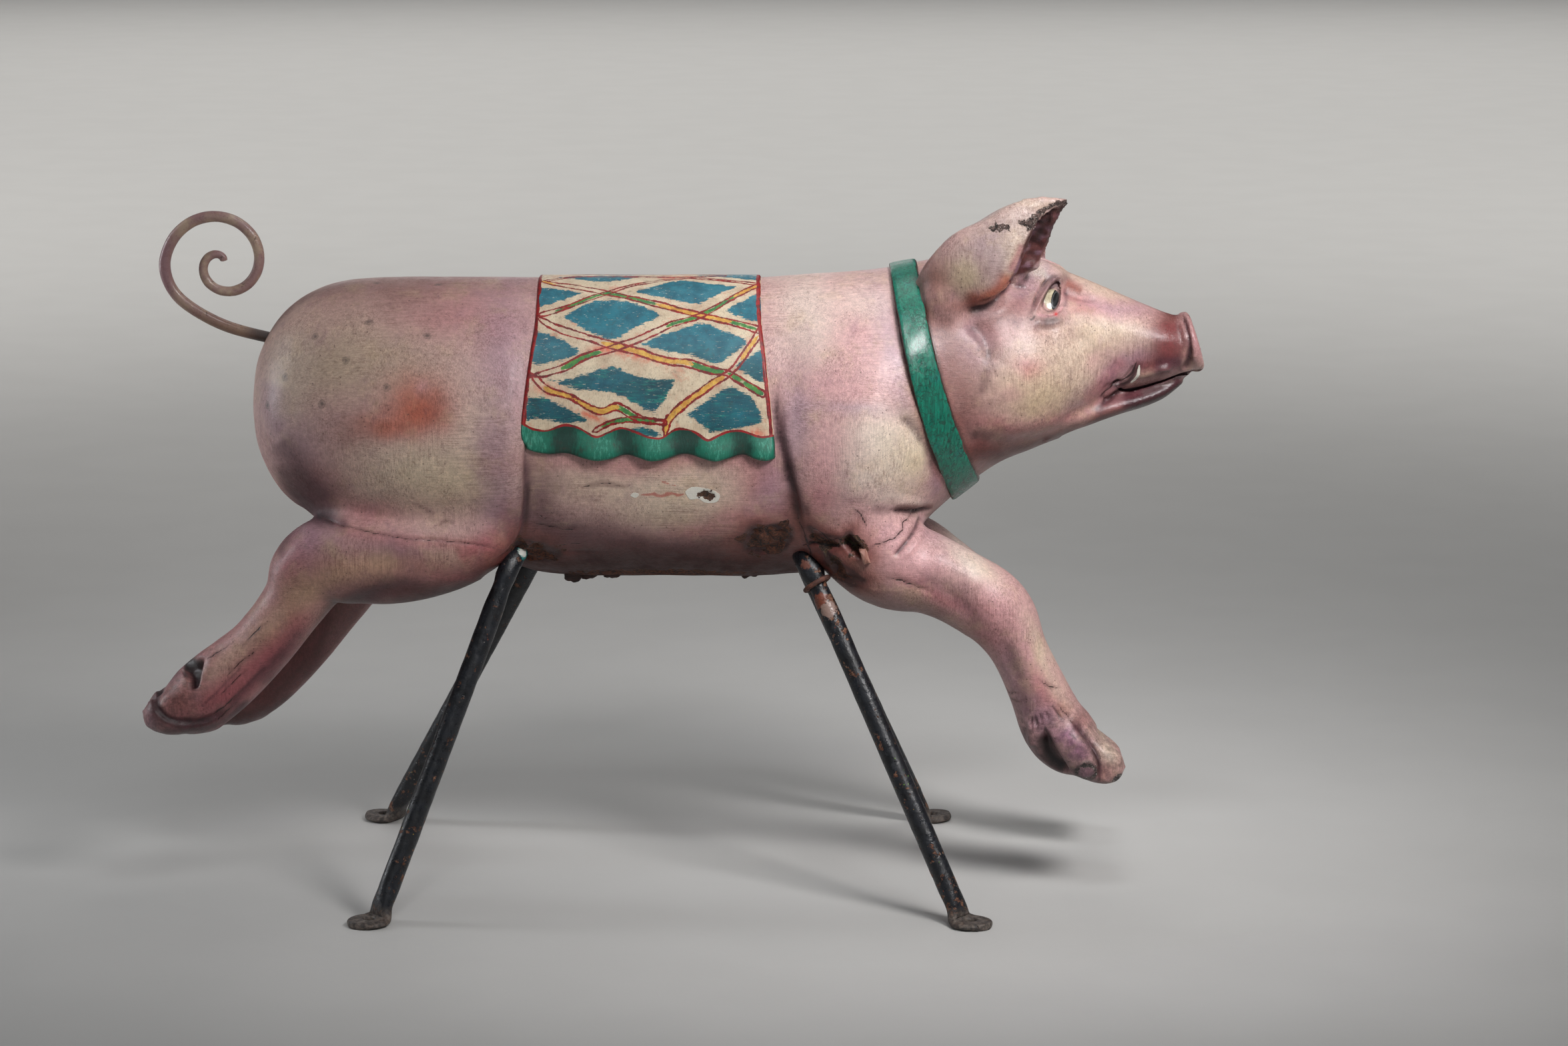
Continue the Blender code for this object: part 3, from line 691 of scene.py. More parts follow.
def carveEye(shape, side):
    line, lump = tools(shape, side)
    lump(-4, (459, 731), (20, 20))
    line(5.5, 8.5, [(405, 775), (438, 776), (457, 768), (470, 760), (482, 750)])
    line(-4.5, 6, [(470, 748), (485, 738), (503, 732), (530, 730)])
    line(2.2, 5.5, [(438, 716), (448, 709), (463, 708), (477, 716)])
    line(-1.5, 4.5, [(436, 705), (450, 700), (468, 702)])
    lump(-4, (425, 745), (16, 20))
    writeShape(shape)
    line(4, 2.4, upperLid, fade=0.2)
    line(2.4, 2, lowerLid, fade=0.3)
    line(-2.2, 2.2, [(434, 722), (441, 738), (450, 751), (460, 760)])
    opening = areaDistance(shape, eyeOpening)
    shape["eyeBed"] = ease(opening, -0.0004, 0.0012) * flank(shape, side)
    shape["co"][:, 1] -= side * shape["eyeBed"] * 0.006


def carveSnout(shape, side):
    line, lump = tools(shape, side)
    # groove behind the disc, nostril wing, lips and the folds at the corner of the mouth
    line(-4, 3.6, [(621.5, 712), (627, 695), (630, 674), (630, 655), (624, 641)], fade=0.1)
    lump(3, (600, 682), (22, 14), -12)
    line(3, 5.5, [(560, 634), (580, 640), (598, 645), (613, 647)])
    lump(2.2, (600, 646), (9, 4.5), 10)
    line(1.6, 3, [(556, 613), (575, 616.5), (598, 623.5), (616, 630)])
    line(-2.4, 2.4, [(549, 632), (538, 627), (529, 617), (519, 605)])
    line(-2.2, 2.4, [(553, 624), (543, 614), (532, 606), (522, 601)])
    line(-1.8, 2.4, [(562, 652), (556, 640), (550, 633)])
    line(2, 3.2, [(548, 627), (537, 619), (527, 608)])
    lump(-7, (542.5, 629), (5, 2.8), 20)


def carveHead(made):
    shape = readShape(made)
    for side in (-1, 1):
        ear = (0, 0) if side < 0 else carving["farEar"]
        line, lump = tools(shape, side)
        lump(6.5, (430, 640), (55, 50))
        line(-5, 10, [(350, 716), (372, 700), (382, 682), (384, 655)])
        line(-3, 12, [(470, 700), (500, 680), (520, 655), (530, 635)])
        line(-4, 10, [(352, 580), (372, 568), (420, 562), (470, 570), (510, 586)])
        line(3, 14, [(385, 588), (425, 584), (470, 592)])
        carveEye(shape, side)
        carveSnout(shape, side)
        # folds under the ear and the rolled rim of its flap
        line(-4, 4.5, [(352, 728), (378, 729), (400, 748), (414, 776)], ear)
        line(2.2, 5, [(392, 768), (404, 794), (414, 824)], ear)
        writeShape(shape)
    for y in (-0.016, 0.016):
        off = (shape["co"] - (0.6445, y, 0.672)) / (0.008, 0.0085, 0.0115)
        shape["co"][:, 0] -= np.exp(-(off * off).sum(1)) * 0.009
    worn = spot(shape, (452, 842), (36, 12), 28, -1)
    push(shape, -worn * (0.001 + 0.0022 * field(shape["co"], 130, 21)))
    co = shape["co"]
    inner = ease(co[:, 2], 0.78, 0.8) * (co[:, 0] > 0.42)
    push(shape, inner * 0.0016 * field(co, 95, 22))
    push(shape, carving["waver"] * (0.9 * field(co, 13, 3) + 0.35 * field(co, 50, 4)))
    writeShape(shape)


body = makeBody()
carveBody(body)
report(f"body: {len(body.data.polygons)} faces")
head = makeHead()
carveHead(head)
report(f"head: {len(head.data.polygons)} faces")


cloth = {
    "step": 0.0022,         # size of the grid's cells, in metres
    "proud": 0.003,        # how far the field stands off the flank
    "root": 0.014,          # how deep the shell reaches into the body
    "dropTop": 0.585,       # height where the hem starts
    "crest": 0.498,         # length over the back from hem to hem
    "flute": 0.006,
    "flank": (0.151, 0.1885, 0.567),    # an ellipse like the flank: half width, half height, middle
    # distance up from the hem's top, and x there, in mm
    "backEdge": [(-40, -176.5), (0, -183), (50, -179), (100, -173), (150, -168), (250, -168)],
    "frontEdge": [(-40, 124), (0, 122), (50, 117), (100, 112), (150, 107), (250, 106)],
    # x, height of the hem's lower edge, in mm
    "hemLow": [(-180, 566), (-166, 560.5), (-148, 558), (-128, 559), (-108, 553), (-92, 550), (-76, 552),
               (-57, 557.5), (-42, 554), (-26, 549.5), (-8, 552.5), (10, 558), (22, 557.5), (36, 553),
               (51, 549.5), (66, 553), (84, 558), (98, 553), (112, 550), (126, 554)],
}


def along(points, values):
    rows = smoothRows(np.array(points) / 1000, 200)
    return np.interp(values, rows[:, 0], rows[:, 1])


def surfaceOf(made):
    return BVHTree.FromPolygons([v.co[:] for v in made.data.vertices],
                                [p.vertices[:] for p in made.data.polygons])


def makeCloth(under):
    # the cloth's own place is (x, s): s is measured up the flank from the hem's top
    tree = surfaceOf(under)
    low = -0.0385
    rows = int((cloth["crest"] - 2 * low) / cloth["step"])
    columns = int(0.3 / cloth["step"])
    s = np.linspace(low, cloth["crest"] - low, rows)
    half = cloth["crest"] / 2
    up = np.where(s > half, cloth["crest"] - s, s)
    sides = np.where(s > half, 1.0, -1.0)
    # the ellipse turns s into a direction to cast from
    wide, tall, middle = cloth["flank"]
    turn = np.linspace(-0.6, math.pi / 2, 900)
    shape = np.stack([wide * np.cos(turn), middle + tall * np.sin(turn)], 1)
    length = np.concatenate([[0], np.cumsum(np.hypot(*np.diff(shape, axis=0).T))])
    length -= np.interp(cloth["dropTop"], shape[:, 1], length)
    length *= half / length[-1]
    place = np.stack([np.interp(up, length, shape[:, 0]), np.interp(up, length, shape[:, 1])], 1)
    back = along(cloth["backEdge"], up)
    front = along(cloth["frontEdge"], up)
    points = np.zeros((rows, columns, 3))
    local = np.zeros((rows, columns, 2))
    hem = np.zeros((rows, columns))
    for j in range(columns):
        share = j / (columns - 1)
        x = back + (front - back) * share
        bottom = along(cloth["hemLow"], x)
        lobe = 1 - ease(bottom, 0.549, 0.559)
        # rows below the hem's top are drawn in to its own lower edge
        reach = (cloth["dropTop"] - bottom) / -low
        z = np.where(up < 0, cloth["dropTop"] + up * reach, place[:, 1])
        y = np.where(up < 0, np.interp(z, shape[:, 1], shape[:, 0]), place[:, 0])
        depth = np.clip(-up / -low, 0, 1)
        # the sides and the lower rim are rounded off into the wood
        rim = np.minimum(share, 1 - share) * 0.3
        side = np.sqrt(np.clip(1 - (1 - np.clip(rim / 0.004, 0, 1)) ** 2, 0, 1))
        fold = np.sqrt(np.clip(1 - np.clip((depth - 0.86) / 0.14, 0, 1) ** 2, 0, 1))
        off = cloth["proud"] + 0.0022 * ease(depth, -0.1, 0.8)
        off = off + cloth["flute"] * lobe * ease(depth, 0, 0.8)
        off = -0.002 + (off + 0.002) * (0.25 + 0.75 * side) * (0.35 + 0.65 * fold)
        for i in range(rows):
            out = Vector((0, sides[i] * y[i] / wide ** 2, (z[i] - middle) / tall ** 2)).normalized()
            spotOn = Vector((x[i], sides[i] * y[i], z[i]))
            hit = tree.ray_cast(spotOn + out * 0.05, -out, 0.1)[0] or spotOn
            points[i, j] = hit + out * off[i]
            local[i, j] = x[i], up[i] * (reach[i] if up[i] < 0 else 1)
            hem[i, j] = depth[i]
    faces = [(i * columns + j, i * columns + j + 1, (i + 1) * columns + j + 1, (i + 1) * columns + j)
             for i in range(rows - 1) for j in range(columns - 1)]
    made = shellObject("saddle_cloth", {"points": points.reshape(-1, 3).tolist(), "faces": faces})
    if made.data.polygons[len(faces) // 2].normal.z < 0:
        made.data.flip_normals()
    saveFields(made, place=np.concatenate([local.reshape(-1, 2), hem.reshape(-1, 1)], 1))
    thick = made.modifiers.new("thickness", "SOLIDIFY")
    thick.thickness = cloth["root"]
    thick.offset = -1
    return bake(made)


collarBand = {
    "width": 0.0345,
    "bow": 0.01,
    # share of its width, height off the neck
    "section": [(-0.5, -0.01), (-0.505, 0.0022), (-0.49, 0.0044), (-0.44, 0.0056), (-0.33, 0.006),
                (-0.15, 0.0062), (0.05, 0.0064), (0.25, 0.0062), (0.4, 0.0058), (0.47, 0.0048),
                (0.505, 0.0024), (0.5, -0.01)],
}


def makeCollar():
    rows = smoothRows(np.array(carving["body"]) / 1000, 400)
    down = (collarLow - collarTop) / np.linalg.norm(collarLow - collarTop)
    down = np.array([down[0], 0, down[1]])
    ahead = np.array([-down[2], 0, down[0]])
    count = 220
    rings = []
    for i in range(count):
        angle = 2 * math.pi * i / count
        share = 0.5 - 0.5 * math.sin(angle)
        x, z = collarTop + (collarLow - collarTop) * share
        x -= collarBand["bow"] * math.sin(math.pi * share)
        top, bottom = (np.interp(x, rows[:, 0], rows[:, k]) for k in (1, 2))
        level = np.clip((z - (top + bottom) / 2) / ((top - bottom) / 2), -1, 1)
        out = np.array([0, math.cos(angle), 0]) - down * math.sin(angle)
        waver = 0.0009 * noise.noise(Vector((i * 0.16, 0, 5)))
        thick = 1 + 0.1 * noise.noise(Vector((i * 0.11, 3, 5)))
        ring = []
        for across, off in collarBand["section"]:
            # each point follows the neck, which widens towards the shoulder
            here = x + ahead[0] * (across * collarBand["width"] + waver)
            top, bottom, half, sag = (np.interp(here, rows[:, 0], rows[:, k]) for k in range(1, 5))
            place = np.array([here, half * (1 - sag * level) * math.cos(angle),
                              (top + bottom) / 2 + level * (top - bottom) / 2])
            ring.append(place + out * off * (thick if off > 0 else 1))
        rings.append(ring)
    made = skin("collar", rings, loop=True)
    across = np.tile([across for across, _ in collarBand["section"]], count)
    saveFields(made, across=across)
    return made


eyeBall = {
    "middle": (0.4605, 0.7325),
    "radii": (0.015, 0.019, 0.0058),    # across, along and out of the opening
    "sunk": 0.0034,
    "iris": (0.4655, 0.7325),
    "irisRadii": (0.0056, 0.0122),
    "irisTilt": 14,
}


def makeEyes(headSurface):
    made = []
    x, z = eyeBall["middle"]
    around = angles(56)
    for side, name in ((-1, "near_eye"), (1, "far_eye")):
        def depthAt(x, z):
            return headSurface.ray_cast(Vector((x, side * 0.2, z)), Vector((0, -side, 0)))[0]

        middle = depthAt(x, z)
        upward = depthAt(0.4625, 0.742) - depthAt(0.4585, 0.7235)
        forward = depthAt(0.467, 0.732) - depthAt(0.455, 0.732)
        out = upward.cross(forward).normalized() * -side
        if out.y * side < 0:
            out = -out
        long = (upward - upward.project(out)).normalized()
        rings = []
        for turn in np.linspace(0.02, math.pi - 0.02, 41):
            reach = np.stack([math.sin(turn) * np.cos(around), math.sin(turn) * np.sin(around),
                              np.full(56, math.cos(turn))], 1) * eyeBall["radii"]
            rings.append(np.array(middle) - np.array(out) * eyeBall["sunk"]
                         + reach @ np.array([long.cross(out), long, out]))
        made.append(skin(name, rings))
    return made


pipes = {
    "radius": 0.0127,
    "neck": 0.0112,
    "frontElbow": 0.0145,
    "crownReach": 0.104,
    "crownHeight": 0.427,
    "bend": 0.03,
    "footRadius": 0.0265,
    "footThick": 0.008,
    "hole": 0.0085,
    "heel": 0.0111,         # from the bolt hole inward to where the leg rises
    "neckRun": 0.044,       # from there up to the full pipe
    "neckAt": 0.975,        # share of the leg where it is narrow and the link hangs
    "dents": 0.0004,        # unevenness of the pipe and its paint
    # x at the belly, foot x, foot y
    "rear": {"near": (-0.195, -0.367, -0.25), "far": (-0.158, -0.392, 0.246)},
    "front": {"near": (0.158, 0.359, -0.256), "far": (0.135, 0.328, 0.244)},
}


def legPlan(row, out):
    # the places that one leg runs through, and its two directions
    crown = Vector((row[0], out * pipes["crownReach"], pipes["crownHeight"]))
    foot = Vector((row[1], row[2], pipes["footThick"] / 2))
    inward = Vector((crown.x - foot.x, crown.y - foot.y, 0)).normalized()
    leg = (crown - foot).normalized()
    heel = foot + inward * pipes["heel"]
    start = heel + leg * pipes["neckRun"]
    return crown, foot, heel, start, crown - leg * pipes["bend"], inward, leg


def standRows(plan, elbow):
    halves = []
    crowns = {side: legPlan(plan[side], out)[0] for side, out in (("near", -1), ("far", 1))}
    for side, other, out in (("near", "far", -1), ("far", "near", 1)):
        crown, foot, heel, start, bendIn, inward, leg = legPlan(plan[side], out)
        half = []
        for turn in np.linspace(178, 70, 15):
            angle = math.radians(turn)
            half.append((foot + inward * pipes["footRadius"] * math.cos(angle),
                         pipes["footRadius"] * max(0.1, math.sin(angle)), 0.004, 1.0))
        neck = [half[-1], (foot + inward * 0.0164 + Vector((0, 0, 0.003)), 0.0195, 0.0065, 0.8),
                (heel + leg * 0.02, 0.0145, 0.0092, 0.4), (start, pipes["radius"], pipes["radius"], 0.0)]
        flat = smoothRows([(*place, wide, thick, press) for place, wide, thick, press in neck], 16)
        half += [(Vector(row[:3]), row[3], row[4], float(np.clip(row[5], 0, 1))) for row in flat[1:-1]]
        for share in np.linspace(0, 0.9, 46):
            half.append((start.lerp(bendIn, share), pipes["radius"], pipes["radius"], 0.0))
        half.append((start.lerp(bendIn, 0.955), pipes["neck"], pipes["neck"], 0.0))
        half.append((start.lerp(bendIn, pipes["neckAt"]), pipes["neck"], pipes["neck"], 0.0))
        level = (crowns[other] - crown).normalized()
        bendOut = crown + level * pipes["bend"]
        for t in np.linspace(0, 1, 15):
            place = bendIn * (1 - t) ** 2 + crown * 2 * t * (1 - t) + bendOut * t * t
            half.append((place, elbow, elbow, 0.0))
        halves.append(half)
    return halves[0] + halves[1][::-1]


def makeStand(name, plan, elbow, seed):
    rows = standRows(plan, elbow)
    sides = 36
    rings = []
    for i, (place, wide, thick, press) in enumerate(rows):
        run = (rows[min(i + 1, len(rows) - 1)][0] - rows[max(i - 1, 0)][0]).normalized()
        side = run.cross(Vector((0, 0, 1))).normalized()
        up = side.cross(run)
        ring = []
        for k in range(sides):
            angle = 2 * math.pi * k / sides
            lift = math.sin(angle)
            lift = lift * (1 - press) + max(-1, min(1, lift * 1.6)) * press
            rim = place + side * wide * math.cos(angle) + up * thick * lift
            dent = pipes["dents"] * (1 - 0.6 * press) * noise.noise(rim * 70 + Vector((seed, 0, 0)))
            ring.append(rim + (rim - place).normalized() * dent)
        rings.append(ring)
    made = skin(name, rings)
    for side in ("near", "far"):
        around = angles(40)
        circle = np.stack([plan[side][1] + pipes["hole"] * np.cos(around),
                           plan[side][2] + pipes["hole"] * np.sin(around), np.zeros(40)], 1)
        cutAway(made, skin("hole", [circle + (0, 0, z) for z in (-0.02, 0.03)]))
    return made


rod = {
    "root": (-0.492, 0.676),
    "run": [(-0.552, 0.692), (-0.597, 0.716), (-0.62, 0.74)],
    "centre": (-0.5575, 0.77),
    "outer": 0.07,
    "closes": 0.0485,       # how much the spiral's radius shrinks in one turn
    "sweep": 490,
    "thick": 0.0072,
    "tip": 0.0045,
}


def makeTail():
    dip = math.radians(-13.5)
    root = np.array(rod["root"])
    route = [root + np.array([math.cos(dip), math.sin(dip)]) * 0.04, root]
    route += [np.array(p) for p in rod["run"]]
    for turned in np.linspace(0, rod["sweep"], 19):
        angle = math.radians(180 - turned)
        radius = rod["outer"] - rod["closes"] * turned / 360
        route.append(np.array(rod["centre"]) + radius * np.array([math.cos(angle), math.sin(angle)]))
    count = 260
    spine = smoothRows(route, count)
    rings = []
    around = angles(24)
    for i, place in enumerate(spine):
        run = spine[min(i + 1, count - 1)] - spine[max(i - 1, 0)]
        run /= np.hypot(*run)
        share = i / (count - 1)
        radius = rod["thick"] + (rod["tip"] - rod["thick"]) * share ** 2
        radius *= 1 + 0.05 * noise.noise(Vector((share * 26, 4, 0)))
        if share > 0.985:
            radius *= math.sqrt(max(0.15, 1 - ((share - 0.985) / 0.016) ** 2))
        rings.append(np.stack([place[0] - run[1] * radius * np.sin(around), radius * np.cos(around),
                               place[1] + run[0] * radius * np.sin(around)], 1))
    return skin("curly_tail", rings)


def makeLink():
    # the loose rusty link hangs askew on the neck of the front stand
    _, _, _, start, bendIn, _, leg = legPlan(pipes["front"]["near"], -1)
    neck = start.lerp(bendIn, pipes["neckAt"])
    axis = (leg + Vector((-0.13, 0, 0))).normalized()
    side = axis.cross(Vector((0, 1, 0))).normalized()
    over = axis.cross(side)
    around = angles(18)
    rings = []
    for i in range(80):
        angle = 2 * math.pi * i / 80
        out = np.array(side) * math.cos(angle) + np.array(over) * math.sin(angle)
        bar = 0.0034 * (1 + 0.1 * noise.noise(Vector((math.cos(angle), math.sin(angle), 0)) * 2.5))
        rings.append(np.array(neck) + out * (0.0157 + bar * np.cos(around)[:, None])
                     + np.array(axis) * bar * 0.9 * np.sin(around)[:, None])
    return skin("rusty_link", rings, loop=True)


def makeChunk(name, corners, thick, y, seed, rough=0.0026):
    # a thin splinter of wood: an outline in the side view, in mm, given some thickness
    outline = smoothRows(np.array([*corners, corners[0]]) / 1000, len(corners) * 5 + 1)[:-1]
    rings = []
    middle = outline.mean(0)
    for depth, size in ((0, 0.86), (0.12, 0.97), (0.5, 1.0), (0.88, 0.97), (1, 0.86)):
        ring = middle + (outline - middle) * size
        wobble = [rough * noise.noise(Vector((*p, depth)) * 160 + Vector((seed, 0, 0))) for p in ring]
        rings.append(np.stack([ring[:, 0] + wobble, np.full(len(ring), y + thick * (depth - 0.5)),
                               ring[:, 1] + wobble], 1))
    return skin(name, rings)


saddleCloth = makeCloth(body)
report(f"cloth: {len(saddleCloth.data.polygons)} faces")
collar = makeCollar()
eyes = makeEyes(surfaceOf(head))
rearStand = makeStand("rear_pipe_stand", pipes["rear"], pipes["radius"], 1)
frontStand = makeStand("front_pipe_stand", pipes["front"], pipes["frontElbow"], 2)
curlyTail = makeTail()
link = makeLink()
splinters = [
    makeChunk("belly_splinter_a", [(-138, 395), (-137.5, 380.5), (-130, 378.5), (-119, 378.8),
                                   (-117, 395)], 0.016, -0.03, 3),
    makeChunk("belly_splinter_b", [(-117.5, 395), (-116, 381.2), (-106, 381.8), (-97, 385),
                                   (-93, 395)], 0.016, -0.028, 4),
    makeChunk("belly_splinter_c", [(-90, 395), (-88, 383.8), (-80, 383), (-70, 384),
                                   (-66, 395)], 0.016, -0.03, 5),
    makeChunk("belly_splinter_d", [(80, 394), (82, 382.5), (86, 381.5), (92, 385), (100, 384),
                                   (103, 394)], 0.014, -0.03, 7),
]
plug = makeChunk("wood_plug", [(225, 440.5), (225.8, 442), (232.2, 443.2), (233.5, 442.2), (238.6, 427.2),
                               (238, 425.6), (231.8, 423.8), (230.4, 424.8)],
                 0.03, -0.1435, 6, 0.0012)
report("iron and small pieces")


palette = {
    "flesh": (200, 160, 155), "cream": (220, 203, 178), "pale": (226, 214, 199), "dull": (186, 165, 142),
    "yellow": (212, 194, 154), "pink": (210, 160, 162), "rose": (176, 100, 106), "mauve": (156, 118, 136),
    "greyMauve": (174, 148, 160), "plum": (84, 46, 56), "orange": (190, 92, 60), "rust": (146, 82, 68),
    "brownPink": (146, 106, 100), "redBrown": (98, 46, 42), "dark": (56, 30, 28), "olive": (142, 126, 106),
    "snout": (128, 66, 66), "purple": (148, 96, 132), "white": (226, 222, 212), "wood": (112, 74, 50),
    "rot": (122, 66, 40), "moss": (88, 80, 50), "grey": (118, 112, 110), "red": (206, 44, 40),
    "black": (26, 17, 18), "darkPaintAndShade": (66, 24, 18),
}

# grey plugs over the nails of the haunch
nailHeads = [(-0.3684, -0.0994, 0.7119), (-0.4332, -0.0996, 0.6946), (-0.3941, -0.1301, 0.6697),
             (-0.2967, -0.1158, 0.6978), (-0.3434, -0.1503, 0.6401), (-0.4229, -0.141, 0.6185),
             (-0.3648, -0.0249, 0.7494), (-0.2887, -0.0324, 0.7486), (-0.4944, -0.0905, 0.6086),
             (-0.4711, -0.1047, 0.6456)]
# tone, middle (x, height) and half lengths in mm, tilt in degrees, strength
bodyStrokes = [
    ("brownPink", -340, 752, 150, 24, 0, 0.85), ("rose", -270, 715, 60, 22, 0, 0.45),
    ("dull", -410, 672, 75, 45, 10, 0.85), ("dull", -470, 640, 30, 60, 0, 0.6),
    ("dull", -330, 660, 70, 30, 0, 0.6), ("mauve", -205, 670, 28, 80, 0, 0.6),
    ("mauve", -455, 560, 35, 35, 0, 0.5), ("cream", -300, 545, 95, 36, 5, 0.8),
    ("yellow", -260, 520, 60, 30, 0, 0.45), ("cream", -240, 600, 30, 40, 0, 0.45),
    ("orange", -346, 596, 30, 14, 12, 0.7), ("orange", -305, 618, 31, 27, 0, 0.9),
    ("rust", -292, 620, 17, 20, 0, 0.45), ("pink", -300, 640, 6, 6, 0, 0.45),
    ("brownPink", -385, 585, 30, 22, 0, 0.45), ("rose", -430, 520, 30, 30, 0, 0.45),
    ("plum", -452, 497, 30, 26, -35, 0.8), ("plum", -440, 478, 30, 10, -10, 0.6),
    ("rose", -370, 488, 42, 14, -5, 0.55), ("mauve", -215, 555, 22, 60, 0, 0.65),
    ("mauve", -205, 490, 20, 40, 0, 0.6), ("rose", -192, 455, 14, 35, 0, 0.75),
    ("mauve", -445, 446, 32, 24, 25, 0.75), ("rose", -470, 425, 16, 24, 0, 0.5),
    ("olive", -412, 437, 16, 10, 0, 0.45), ("mauve", -340, 440, 45, 14, 0, 0.6),
    ("cream", -262, 432, 34, 18, -8, 0.7), ("yellow", -360, 415, 60, 13, 6, 0.45),
    ("orange", -222, 424, 18, 14, 0, 0.55), ("rose", -245, 405, 45, 12, -12, 0.6),
    # the two strokes on the next line are painted shade under the thigh
    ("redBrown", -290, 383, 90, 14, -4, 0.8), ("plum", -385, 374, 35, 13, 35, 0.75),
    ("yellow", -447, 385, 30, 22, 45, 0.75), ("yellow", -490, 340, 40, 15, 45, 0.75),
    ("cream", -540, 298, 30, 13, 38, 0.65), ("olive", -425, 350, 30, 9, 45, 0.45),
    ("rose", -492, 300, 34, 16, 45, 0.7), ("rose", -545, 262, 30, 16, 35, 0.75),
    ("pink", -575, 285, 14, 12, 0, 0.45), ("rust", -606, 250, 22, 18, 30, 0.6),
    ("rose", -590, 228, 28, 12, 0, 0.55), ("plum", -596, 212, 40, 9, 0, 0.75),
    ("plum", -640, 238, 9, 20, 0, 0.6), ("greyMauve", -646, 224, 8, 14, 0, 0.6),
    # belly
    ("rose", -20, 548, 150, 13, 0, 0.55), ("cream", -20, 520, 110, 20, 0, 0.6),
    ("cream", 10, 492, 85, 22, 0, 0.75), ("dull", 0, 476, 60, 12, 0, 0.55),
    ("dull", -110, 515, 45, 20, 0, 0.4), ("rose", 105, 520, 30, 34, 0, 0.55),
    ("mauve", 122, 500, 18, 55, 0, 0.65), ("rose", 85, 475, 40, 16, 0, 0.55),
    ("plum", -160, 490, 22, 55, 0, 0.7), ("plum", -130, 455, 60, 24, 0, 0.8),
    ("plum", -20, 438, 120, 16, 0, 0.75), ("rose", 30, 462, 30, 10, 0, 0.5),
    # the two strokes on the next line darken the belly's underside: partly its own paint, partly painted
    # shade
    ("redBrown", -20, 420, 200, 26, 0, 0.85), ("dark", -20, 396, 220, 28, 0, 0.95),
    ("rust", 85, 430, 40, 14, 0, 0.5),
    # shoulder and neck
    ("pale", 165, 715, 35, 50, 0, 0.65), ("pink", 215, 690, 35, 50, 0, 0.5),
    ("pale", 240, 735, 40, 20, 0, 0.45), ("greyMauve", 268, 680, 18, 70, 12, 0.65),
    ("pink", 180, 640, 50, 18, 0, 0.6), ("greyMauve", 150, 600, 18, 50, 0, 0.7),
    ("greyMauve", 215, 613, 50, 8, 0, 0.65), ("pale", 255, 585, 45, 22, 0, 0.75),
    ("cream", 275, 560, 34, 38, 0, 0.8), ("pale", 235, 540, 50, 36, 0, 0.6),
    ("yellow", 292, 545, 16, 26, -10, 0.5), ("pink", 185, 555, 22, 45, 0, 0.7),
    ("rose", 172, 500, 22, 28, 0, 0.6), ("pink", 225, 495, 40, 16, 0, 0.55),
    # the first stroke on the next line is painted shade behind the shoulder
    ("plum", 143, 530, 7, 50, 10, 0.6), ("brownPink", 318, 545, 10, 45, 8, 0.7),
    ("pale", 268, 505, 22, 12, 0, 0.45), ("mauve", 327, 515, 12, 22, 0, 0.6),
    ("pink", 250, 455, 45, 22, 0, 0.6), ("pale", 292, 486, 22, 8, 0, 0.45),
    # foreleg
    ("pink", 290, 425, 45, 26, -25, 0.65), ("mauve", 320, 452, 22, 12, -35, 0.4),
    ("pale", 362, 417, 36, 12, -32, 0.75), ("cream", 385, 402, 20, 10, -35, 0.6),
    ("pink", 393, 375, 26, 26, 0, 0.65), ("rose", 325, 383, 50, 10, -22, 0.6),
    ("rose", 385, 330, 18, 30, 35, 0.55), ("mauve", 410, 280, 12, 40, 22, 0.55),
    ("pink", 425, 315, 14, 40, 25, 0.55), ("cream", 450, 305, 9, 40, 27, 0.75),
    ("cream", 474, 255, 8, 22, 30, 0.6), ("rose", 452, 262, 16, 26, 20, 0.55),
    ("orange", 478, 240, 8, 16, 30, 0.35), ("mauve", 452, 215, 20, 22, 0, 0.55),
    ("purple", 486, 196, 18, 24, 25, 0.55), ("plum", 458, 180, 16, 20, 30, 0.75),
    ("plum", 478, 160, 34, 8, -8, 0.7), ("cream", 530, 186, 11, 22, 20, 0.7),
    ("rose", 518, 158, 20, 10, 0, 0.45), ("rust", 500, 222, 16, 10, 20, 0.35),
    ("brownPink", 250, 390, 60, 10, -18, 0.55),
]

